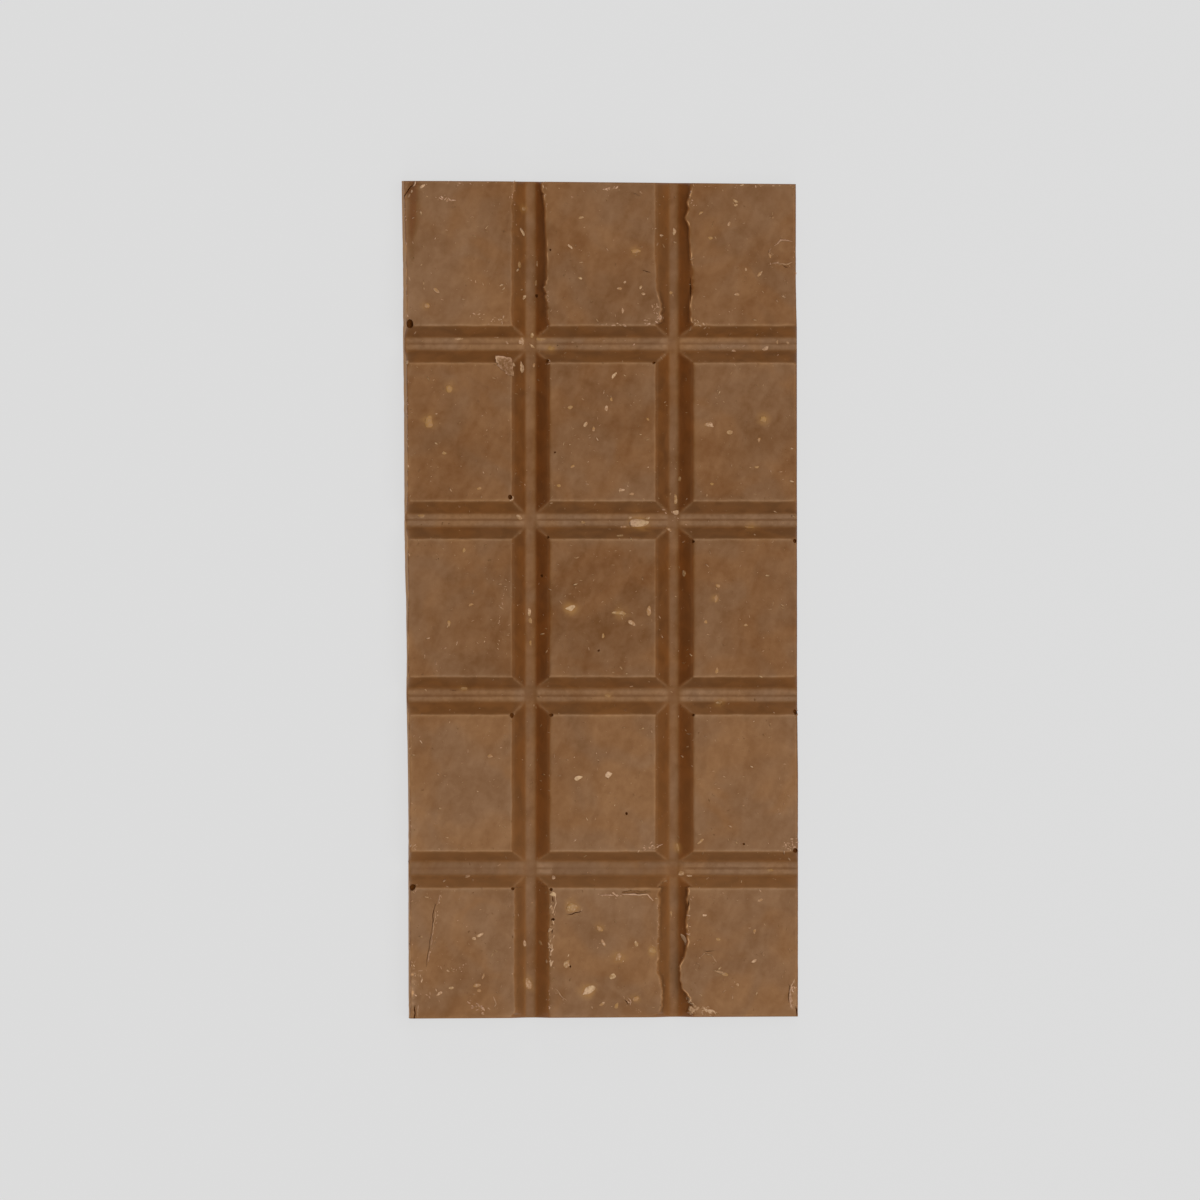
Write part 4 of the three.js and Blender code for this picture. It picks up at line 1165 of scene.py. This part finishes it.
class Nodes:
    """A short way to write a material's nodes."""

    def __init__(self, name):
        self.material = bpy.data.materials.new(name)
        self.material.use_nodes = True
        self.tree = self.material.node_tree
        self.shader = self.tree.nodes["Principled BSDF"]

    def put(self, socket, value):
        if isinstance(value, bpy.types.NodeSocket):
            self.tree.links.new(value, socket)
        else:
            socket.default_value = value

    def set(self, **sockets):
        for name, value in sockets.items():
            self.put(self.shader.inputs[name.replace("_", " ")], value)

    def add(self, kind, inputs=(), **settings):
        """The outputs of a new node, with its inputs given by number or name."""
        node = self.tree.nodes.new(kind)
        for key, value in settings.items():
            setattr(node, key, value)
        for key, value in dict(inputs).items():
            self.put(node.inputs[key], value)
        return node.outputs

    def math(self, operation, a, b=0, clamp=False):
        return self.add("ShaderNodeMath", {0: a, 1: b}, operation=operation, use_clamp=clamp)[0]

    def total(self, *values):
        return functools.reduce(lambda a, b: self.math("ADD", a, b), values)

    def mix(self, share, a, b, blend="MIX"):
        return self.add("ShaderNodeMix", {0: share, 6: a, 7: b}, data_type="RGBA", blend_type=blend)[2]

    def times(self, a, b):
        return self.mix(1, a, b, "MULTIPLY")

    def ramp(self, value, low, high, to_low=0, to_high=1):
        inputs = enumerate((value, low, high, to_low, to_high))
        return self.add("ShaderNodeMapRange", inputs, interpolation_type="SMOOTHSTEP")[0]

    def swing(self, cloudy, size):
        """Cloudy values turned into a change of up to a size either way."""
        return self.ramp(cloudy, 0.3, 0.7, -size, size)

    def place(self):
        """Places on the piece, in millimetres."""
        coordinates = self.add("ShaderNodeTexCoord")["Object"]
        return self.add("ShaderNodeVectorMath", {0: coordinates, "Scale": 1 / MM}, operation="SCALE")[0]

    def noise(self, place, size, detail=2, roughness=0.5, distortion=0):
        """Cloudy values round 0.5, with clouds of a size in millimetres."""
        looks = {"Detail": detail, "Roughness": roughness, "Distortion": distortion}
        return self.add("ShaderNodeTexNoise", {"Vector": place, "Scale": 1 / size, **looks})[0]

    def moved(self, place, distance):
        """Places shifted, so that another noise has other clouds."""
        return self.add("ShaderNodeVectorMath", {0: place, 1: (distance,) * 3}, operation="ADD")[0]

    def turned(self, place, degrees, stretch):
        """Places turned about Z and stretched, for clouds that run one way."""
        turn = {"Rotation": (0, 0, np.radians(degrees)), "Scale": stretch}
        return self.add("ShaderNodeMapping", {"Vector": place, **turn}, vector_type="TEXTURE")[0]

    def split(self, vector):
        return self.add("ShaderNodeSeparateXYZ", {0: vector})

    def attribute(self, name):
        return self.add("ShaderNodeAttribute", attribute_name=name)["Fac"]

    def bump(self, height, strength, distance):
        inputs = {"Height": height, "Strength": strength, "Distance": distance * MM}
        return self.add("ShaderNodeBump", inputs)[0]


def linear(colour):
    """Blender's linear colour from a display colour."""
    return *(c / 12.92 if c <= 0.04045 else ((c + 0.055) / 1.055) ** 2.4 for c in colour), 1


def bloom_share(n, look, place, blotches, grain):
    """How strong the bloom is, place by place, before wear and painted highlights add to it, with a painted
    sheen towards one end.
    """
    x, y, z = n.split(place)
    streaks = n.turned(place, 66, (2.5, 1, 1))
    bloom = n.total(
        look.bloom,
        n.swing(n.noise(place, 15, distortion=0.4), 0.07),
        n.swing(n.noise(streaks, 2.2, roughness=0.45, distortion=0.6), 0.06),
        n.swing(blotches, 0.07),
        n.swing(n.noise(n.moved(place, 130), 0.9, detail=1), 0.03),
        n.ramp(grain, 0.25, 0.75, -0.02, 0.02),
        # Painted sheen growing towards one end, weaker down in the grooves.
        n.math("MULTIPLY", n.ramp(y, -10, -30, 0, look.sheen_end), n.ramp(z, 4, 7, 0.35, 1)),
    )
    for at_x, at_y, full, none, change in BLOOM_PATCHES:
        off_x, off_y = n.math("SUBTRACT", x, at_x), n.math("SUBTRACT", y, at_y)
        square = n.math("ADD", n.math("MULTIPLY", off_x, off_x), n.math("MULTIPLY", off_y, off_y))
        bloom = n.total(bloom, n.ramp(n.math("SQRT", square), full, none, change, 0))
    return bloom


def wall_colour(n, look, y, across, blotches, tints, broken_wear_and_sheen):
    """Deep brown, a painted shade darker on long walls, warmer and darker with painted shade on those that
    face left, away from the key light, and paler towards the ends under a painted sheen.
    """
    sideways = n.ramp(n.math("ABSOLUTE", across), 0.2, 0.6)
    # Long walls a painted shade darker than the cross walls.
    wall = n.mix(sideways, linear(look.wall_colour), linear(look.shaded_long_wall_colour))
    wall = n.times(wall, n.ramp(blotches, 0.3, 0.7, 0.88, 1.12))
    wall = n.times(wall, n.mix(tints, COOL_TINT, WARM_TINT))
    wall = n.mix(n.math("MULTIPLY", broken_wear_and_sheen, 0.75), wall, linear(look.bloom_colour))
    # Painted sheen, paler towards the ends.
    end_sheen = n.total(n.ramp(y, -5, -80, 0, 2.8 * look.sheen_end), n.ramp(y, 50, 58, 0, look.sheen_end))
    wall = n.mix(end_sheen, wall, linear(SHEEN_WALL))
    # Painted shade on the walls that face left, away from the key light.
    return n.mix(n.ramp(across, -0.2, -0.6), wall, n.times(wall, SHADED_TINT))


def chocolate_material(look):
    """Milk chocolate: deep on walls, under an uneven pale bloom on what faces up, with wear, painted
    highlights and painted sheen, and painted shade in its pits.
    """
    n = Nodes("milk chocolate")
    place = n.place()
    tints = n.ramp(n.noise(n.moved(place, 50), 12, distortion=0.9), 0.35, 0.65)
    blotches = n.noise(n.moved(place, 90), 3.2, distortion=0.5)
    grain = n.noise(place, 0.35, detail=3, roughness=0.65)
    # Wear together with the painted highlights on edges and mitres and the painted sheen on floors.
    wear_and_sheen = n.attribute("wear_and_sheen")
    broken_wear_and_sheen = n.math("MULTIPLY", wear_and_sheen, n.ramp(n.noise(place, 0.9, detail=3), 0.35, 0.65, 0.65, 1), clamp=True)
    bloom = bloom_share(n, look, place, blotches, grain)
    bloom = n.math("ADD", bloom, n.math("MULTIPLY", broken_wear_and_sheen, 0.45), clamp=True)
    top = n.mix(bloom, linear(look.top_colour), linear(look.bloom_colour))
    top = n.times(top, n.mix(tints, COOL_TINT, WARM_TINT))

    across, _, up = n.split(n.add("ShaderNodeNewGeometry")["Normal"])
    facing = n.ramp(up, 0.62, 0.99)
    colour = n.mix(facing, wall_colour(n, look, n.split(place)[1], across, blotches, tints, broken_wear_and_sheen), top)
    halo = n.ramp(n.math("ADD", n.attribute("halo"), n.swing(blotches, 0.15)), 0.1, 1, 0, 0.8)
    colour = n.mix(halo, colour, linear(NUT_GLOW))
    # The palest wear, and the strongest painted highlights, such as on the lips.
    palest_share = n.ramp(wear_and_sheen, 0.9, 1.8)
    colour = n.mix(palest_share, colour, linear(look.palest_colour))
    # Painted shade in the pits and cracks, over the chocolate's richer colour there.
    pit = n.ramp(n.attribute("pit"), 0, 0.6)
    colour = n.mix(pit, colour, linear(look.pit_shade_colour))
    roughness = n.math("MAXIMUM", n.ramp(facing, 0, 1, 0.45, 0.58), n.math("MAXIMUM", pit, palest_share))
    n.set(Base_Color=colour, Roughness=roughness, Specular_IOR_Level=look.gloss)
    height = n.math("ADD", n.math("MULTIPLY", grain, 0.5), n.noise(place, 1.1))
    n.set(Normal=n.bump(height, strength=0.1, distance=0.05))
    return n.material


def crumb_material(name, pale, tan, hidden, bare, grain):
    """Broken crumb: hidden where it is least pale, then tan from a paleness on, then bare and pale."""
    n = Nodes(name)
    place = n.place()
    tone = n.math("ADD", n.attribute("tone"), n.swing(n.noise(place, 0.45, detail=3), 0.2))
    colour = n.mix(n.ramp(tone, -0.4, 0), linear(DARK_CRUMB), linear(hidden))
    colour = n.mix(n.ramp(tone, bare, bare + 0.5), colour, linear(tan))
    colour = n.mix(n.ramp(tone, 0.55, 1.05), colour, linear(pale))
    yellower = n.ramp(n.noise(n.moved(place, 30), 5, detail=1), 0.4, 0.65)
    colour = n.times(colour, n.mix(yellower, NO_TINT, YELLOW_TINT))
    n.set(Base_Color=colour, Roughness=0.62, Specular_IOR_Level=0.25)
    n.set(Normal=n.bump(n.noise(place, grain, detail=4, roughness=0.6), strength=0.5, distance=0.06))
    return n.material


def floor_material(studio):
    """A pale sheet, lit a little from below so that it stays even."""
    n = Nodes("pale floor")
    tone = n.ramp(n.noise(n.place(), 40, detail=1), 0.3, 0.7, 0.995, 1)
    n.set(Base_Color=n.times(linear(studio.floor_colour), tone), Roughness=0.9, Specular_IOR_Level=0.1)
    n.set(Emission_Color=linear(studio.glow_colour), Emission_Strength=studio.glow)
    return n.material


# Settings that a user would change


def length_setting(name, description, millimetres):
    return FloatProperty(
        name=name, description=description, default=millimetres * MM, min=0, precision=4, unit="LENGTH"
    )


def colour_setting(name, description, default):
    return FloatVectorProperty(
        name=name, description=description, default=default, min=0, max=1, size=3, subtype="COLOR_GAMMA"
    )


def share_setting(name, description, default):
    return FloatProperty(name=name, description=description, default=default, min=0, max=1, subtype="FACTOR")


def strength_setting(name, description, default):
    return FloatProperty(name=name, description=description, default=default, min=0)


class BarSizes(PropertyGroup):
    """Sizes of the moulded bar."""

    width: length_setting("Width", "Across the bar, at its underside", 75.6)
    length: length_setting("Length", "Along the bar, at its underside", 159.5)
    height: length_setting("Thickness", "From the flat back to the squares", 7.5)
    groove_depth: length_setting("Groove depth", "From the squares to a groove's floor", 4.0)
    rim_round: length_setting("Rim rounding", "Radius of the rounded rim", 0.4)


class ChocolateLook(PropertyGroup):
    """Colours and gloss of the chocolate."""

    top_colour: colour_setting("Chocolate", "What faces up, where it has no bloom", (0.375, 0.223, 0.065))
    bloom_colour: colour_setting("Bloom", "What faces up, under a full bloom", (0.563, 0.426, 0.298))
    veil_colour: colour_setting("Veil", "Crumbs where the chocolate covers them", (0.437, 0.292, 0.153))
    wall_colour: colour_setting("Cross walls", "Walls of the grooves that run across", (0.455, 0.301, 0.168))
    # A painted shade darker than the cross walls.
    shaded_long_wall_colour: colour_setting("Long walls", "Walls of the grooves that run along", (0.424, 0.264, 0.13))
    # Reached by the palest wear and by the strongest painted highlights.
    palest_colour: colour_setting("Dusty side", "The side that is rubbed palest", (0.76, 0.575, 0.4))
    # Painted shade in pits and cracks.
    pit_shade_colour: colour_setting("Pits", "The depth of pits and cracks", (0.33, 0.175, 0.03))
    bloom: share_setting("Bloom", "How strong the pale bloom is", 0.265)
    # A painted sheen, paler towards the ends.
    sheen_end: share_setting("Dry end", "How much bloom one end has more", 0.12)
    gloss: share_setting("Gloss", "Strength of the reflections", 0.14)


class CrumbMix(PropertyGroup):
    """Nut crumbs in the chocolate."""

    flecks: IntProperty(name="Flecks", description="How many small flecks show", default=3400, min=0)
    fleck_length: length_setting("Longest fleck", "Length of the largest small fleck", 1.0)
    seed: IntProperty(name="Seed", description="Another number scatters the crumbs another way", default=7)
    pale_colour: colour_setting("Pale nut", "Bare broken nut", (0.71, 0.575, 0.45))
    tan_colour: colour_setting("Tan nut", "Nut under a thin film of chocolate", (0.56, 0.415, 0.285))


class Studio(PropertyGroup):
    """Floor, light and camera."""

    floor_colour: colour_setting("Floor", "Colour of the floor under the light", (0.26, 0.26, 0.26))
    glow_colour: colour_setting("Floor glow", "Colour of the light from below the floor", (1.0, 1.0, 1.0))
    glow: strength_setting("Glow", "Strength of the light from below the floor", 0.65)
    view_width: length_setting("View width", "What the camera sees across the floor", 228.7)
    camera_height: length_setting("Camera height", "From the floor to the camera", 1500)
    key_height: length_setting("Key height", "From the floor to the soft light above", 1700)
    key_side: length_setting("Key offset", "How far the soft light stands to the right", 460)
    key_size: length_setting("Key size", "Across the soft light", 1500)
    key_power: strength_setting("Key power", "Power of the soft light above, in watts", 26)
    low_distance: length_setting("Low lights", "How far the two low lights stand from the bar", 1500)
    low_power: strength_setting("Low power", "Power of each low light, in watts", 5.2)
    sky: strength_setting("Room light", "Strength of the even light of the room", 0.32)


# Operators


def ready(piece, material):
    """Finishes a piece of the bar: its material and its body."""
    piece.data.materials.clear()
    piece.data.materials.append(material)
    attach(piece, BODY)
    return piece


class CHOCOLATE_OT_bar(Operator):
    """Builds the moulded bar with its grooves, lips, bubbles and cracks"""

    bl_idname = "chocolate.bar"
    bl_label = "Moulded bar"

    def execute(self, context):
        form = MouldedForm(context.scene.bar_sizes)
        points, faces, wear_and_sheen = slab(form)
        bar = new_object("moulded_bar", points, faces)
        set_attribute(bar.data, "wear_and_sheen", wear_and_sheen)
        set_attribute(bar.data, "halo", haloed(points))
        chooser = np.random.default_rng(context.scene.crumb_mix.seed)
        cracks = [wedge(form, width, CRACK_ABOVE, -depth, route, seed)
                  for seed, (width, depth, route) in enumerate(CRACKS)]
        cut_away(bar, [*bubble_shapes(form, BUBBLES, chooser), *cracks])
        bar.data.shade_smooth()
        bar.data.set_sharp_from_angle(angle=np.radians(42))
        ready(bar, chocolate_material(context.scene.chocolate_look))
        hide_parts(BAR_NODE)
        return {"FINISHED"}


class CHOCOLATE_OT_nuts(Operator):
    """Builds the larger pieces of nut that show in the bar"""

    bl_idname = "chocolate.nuts"
    bl_label = "Nut pieces"

    def execute(self, context):
        form = MouldedForm(context.scene.bar_sizes)
        mix = context.scene.crumb_mix
        chooser = np.random.default_rng(mix.seed + 1)
        nuts = scattered("nut_pieces", form, NUTS, chooser)
        colours = mix.pale_colour, mix.tan_colour, NUT_GLOW
        ready(nuts, crumb_material("broken nut", *colours, bare=0.25, grain=0.25))
        return {"FINISHED"}


def fleck_spot(form, longest, chooser):
    """A small fleck anywhere on the moulded face, in the same terms as the nuts."""
    x = chooser.uniform(FLECK_MARGIN - form.half_x, form.half_x - FLECK_MARGIN)
    y = chooser.uniform(FLECK_MARGIN - form.half_y, form.half_y - FLECK_MARGIN)
    length = longest * (FLECK_SHORTEST + (1 - FLECK_SHORTEST) * chooser.random() ** 3)
    width = length * chooser.uniform(*FLECK_WIDTH)
    least, more = FLECK_TONE
    tone = least + more * chooser.random() ** 2 if chooser.random() > DARK_FLECKS else DARK_FLECK_TONE
    return x, y, length, width, chooser.uniform(0, 180), tone


class CHOCOLATE_OT_flecks(Operator):
    """Scatters the small flecks of nut over the moulded face"""

    bl_idname = "chocolate.flecks"
    bl_label = "Nut flecks"

    def execute(self, context):
        form = MouldedForm(context.scene.bar_sizes)
        mix, look = context.scene.crumb_mix, context.scene.chocolate_look
        chooser = np.random.default_rng(mix.seed + 2)
        spots = [fleck_spot(form, mix.fleck_length / MM, chooser) for _ in range(mix.flecks)]
        flecks = scattered("nut_flecks", form, spots, chooser)
        colours = mix.pale_colour, mix.tan_colour, look.veil_colour
        ready(flecks, crumb_material("nut fleck", *colours, bare=0.05, grain=0.2))
        return {"FINISHED"}


def scrap_spots(route, spread, count, longest, chooser):
    """Scraps along a crumbled edge, in the same terms as the nuts."""
    _, route_x, route_y = along_route(route, SCRAP_STEP)
    heading = np.degrees(np.arctan2(np.gradient(route_y), np.gradient(route_x)))
    for _ in range(count):
        spot = chooser.integers(len(route_x))
        x, y = route_x[spot] + spread * chooser.normal(), route_y[spot] + spread * chooser.normal()
        length = SCRAP_LONGER * longest * (SCRAP_SHORTEST + (1 - SCRAP_SHORTEST) * chooser.random() ** 2)
        width = length * chooser.uniform(*SCRAP_WIDTH)
        turn = heading[spot] + SCRAP_TURN * chooser.normal()
        tone = chooser.uniform(*SCRAP_TONE) if chooser.random() > DARK_SCRAPS else DARK_SCRAP_TONE
        yield x, y, length, width, turn, tone


class CHOCOLATE_OT_scraps(Operator):
    """Builds the scraps of broken chocolate on crumbled edges"""

    bl_idname = "chocolate.scraps"
    bl_label = "Broken scraps"

    def execute(self, context):
        form = MouldedForm(context.scene.bar_sizes)
        chooser = np.random.default_rng(context.scene.crumb_mix.seed + 3)
        scrappy = [bubble for bubble in BUBBLES if min(bubble[2:]) > SCRAPPY_BUBBLE]
        spots = list(SCRAPS)
        for edge in (*CRUMBLED, *((bubble_rim(*bubble), *BUBBLE_SCRAPS) for bubble in scrappy)):
            spots.extend(scrap_spots(*edge, chooser))
        scraps = scattered("chocolate_scraps", form, spots, chooser)
        for seed, outline in enumerate(PLATES, PLATE_SEED):
            add_shape(scraps, *broken_plate(form, outline, seed))
        for seed, (width, height, tone, route) in enumerate(RIDGES, RIDGE_SEED):
            points, faces = wedge(form, width, -RIDGE_SUNK * height, height, route, seed)
            add_shape(scraps, points, faces, np.full(len(points), tone))
        colours = PALE_SCRAP, TAN_SCRAP, context.scene.chocolate_look.veil_colour
        ready(scraps, crumb_material("broken chocolate", *colours, bare=0.05, grain=0.2))
        return {"FINISHED"}


def soft_light(scene, name, place, size, power):
    """A round soft light that looks at the bar."""
    lamp = bpy.data.lights.new(name, "AREA")
    lamp.shape = "DISK"
    lamp.size = size
    lamp.energy = power
    light = bpy.data.objects.new(name, lamp)
    light.location = place
    light.rotation_euler = (-Vector(place)).to_track_quat("-Z", "Y").to_euler()
    scene.collection.objects.link(light)


class CHOCOLATE_OT_stage(Operator):
    """Sets the pale floor, the soft light and the camera straight above the bar"""

    bl_idname = "chocolate.stage"
    bl_label = "Floor, light and camera"

    def execute(self, context):
        scene = context.scene
        studio = scene.studio
        corners = np.array([(-1, -1), (1, -1), (1, 1), (-1, 1)]) * FLOOR_REACH
        floor = new_object("floor", np.c_[corners, np.full(4, -FLOOR_GAP)], [(0, 1, 2, 3)])
        floor.data.materials.append(floor_material(studio))
        floor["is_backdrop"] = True

        key = (studio.key_side, 0, studio.key_height)
        soft_light(scene, "key light", key, studio.key_size, studio.key_power)
        for side in (-1, 1):
            low = (0, side * studio.low_distance, studio.low_distance * LOW_LIGHT_RISE)
            soft_light(scene, "low light", low, studio.key_size / 2, studio.low_power)

        scene.world = bpy.data.worlds.new("room")
        scene.world.use_nodes = True
        background = scene.world.node_tree.nodes["Background"]
        background.inputs["Color"].default_value = (1, 1, 1, 1)
        background.inputs["Strength"].default_value = studio.sky
        scene.view_settings.view_transform = "Standard"

        lens = bpy.data.cameras.new("camera")
        lens.sensor_width = FILM_WIDTH
        lens.lens = lens.sensor_width * studio.camera_height / studio.view_width
        lens.clip_end = FARTHEST_SEEN
        camera = bpy.data.objects.new("camera", lens)
        camera.location = (*(at * MM for at in VIEW_MIDDLE), studio.camera_height)
        scene.collection.objects.link(camera)
        scene.camera = camera
        return {"FINISHED"}


STEPS = (CHOCOLATE_OT_bar, CHOCOLATE_OT_nuts, CHOCOLATE_OT_flecks, CHOCOLATE_OT_scraps, CHOCOLATE_OT_stage)
GROUPS = {"bar_sizes": BarSizes, "chocolate_look": ChocolateLook, "crumb_mix": CrumbMix, "studio": Studio}


class CHOCOLATE_PT_panel(Panel):
    """Everything that builds the bar, in the order of making"""

    bl_idname = "CHOCOLATE_PT_panel"
    bl_label = "Nut Chocolate Bar"
    bl_space_type = "VIEW_3D"
    bl_region_type = "UI"
    bl_category = "Chocolate"

    def draw(self, context):
        for step in STEPS:
            self.layout.operator(step.bl_idname)
        for group, kind in GROUPS.items():
            box = self.layout.box()
            for setting in kind.__annotations__:
                box.prop(getattr(context.scene, group), setting)


def register():
    for kind in (*GROUPS.values(), *STEPS, CHOCOLATE_PT_panel):
        bpy.utils.register_class(kind)
    for group, kind in GROUPS.items():
        setattr(bpy.types.Scene, group, PointerProperty(type=kind))


def unregister():
    for group in GROUPS:
        delattr(bpy.types.Scene, group)
    for kind in (CHOCOLATE_PT_panel, *reversed(STEPS), *reversed(list(GROUPS.values()))):
        bpy.utils.unregister_class(kind)


def main():
    register()
    bpy.ops.chocolate.bar()
    bpy.ops.chocolate.nuts()
    bpy.ops.chocolate.flecks()
    bpy.ops.chocolate.scraps()
    bpy.ops.chocolate.stage()
    boxes = {"cad": CAD_BOX, "visual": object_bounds()}
    {name: [list(corner) for corner in box] for name, box in boxes.items()}


if __name__ == "__main__":
    main()
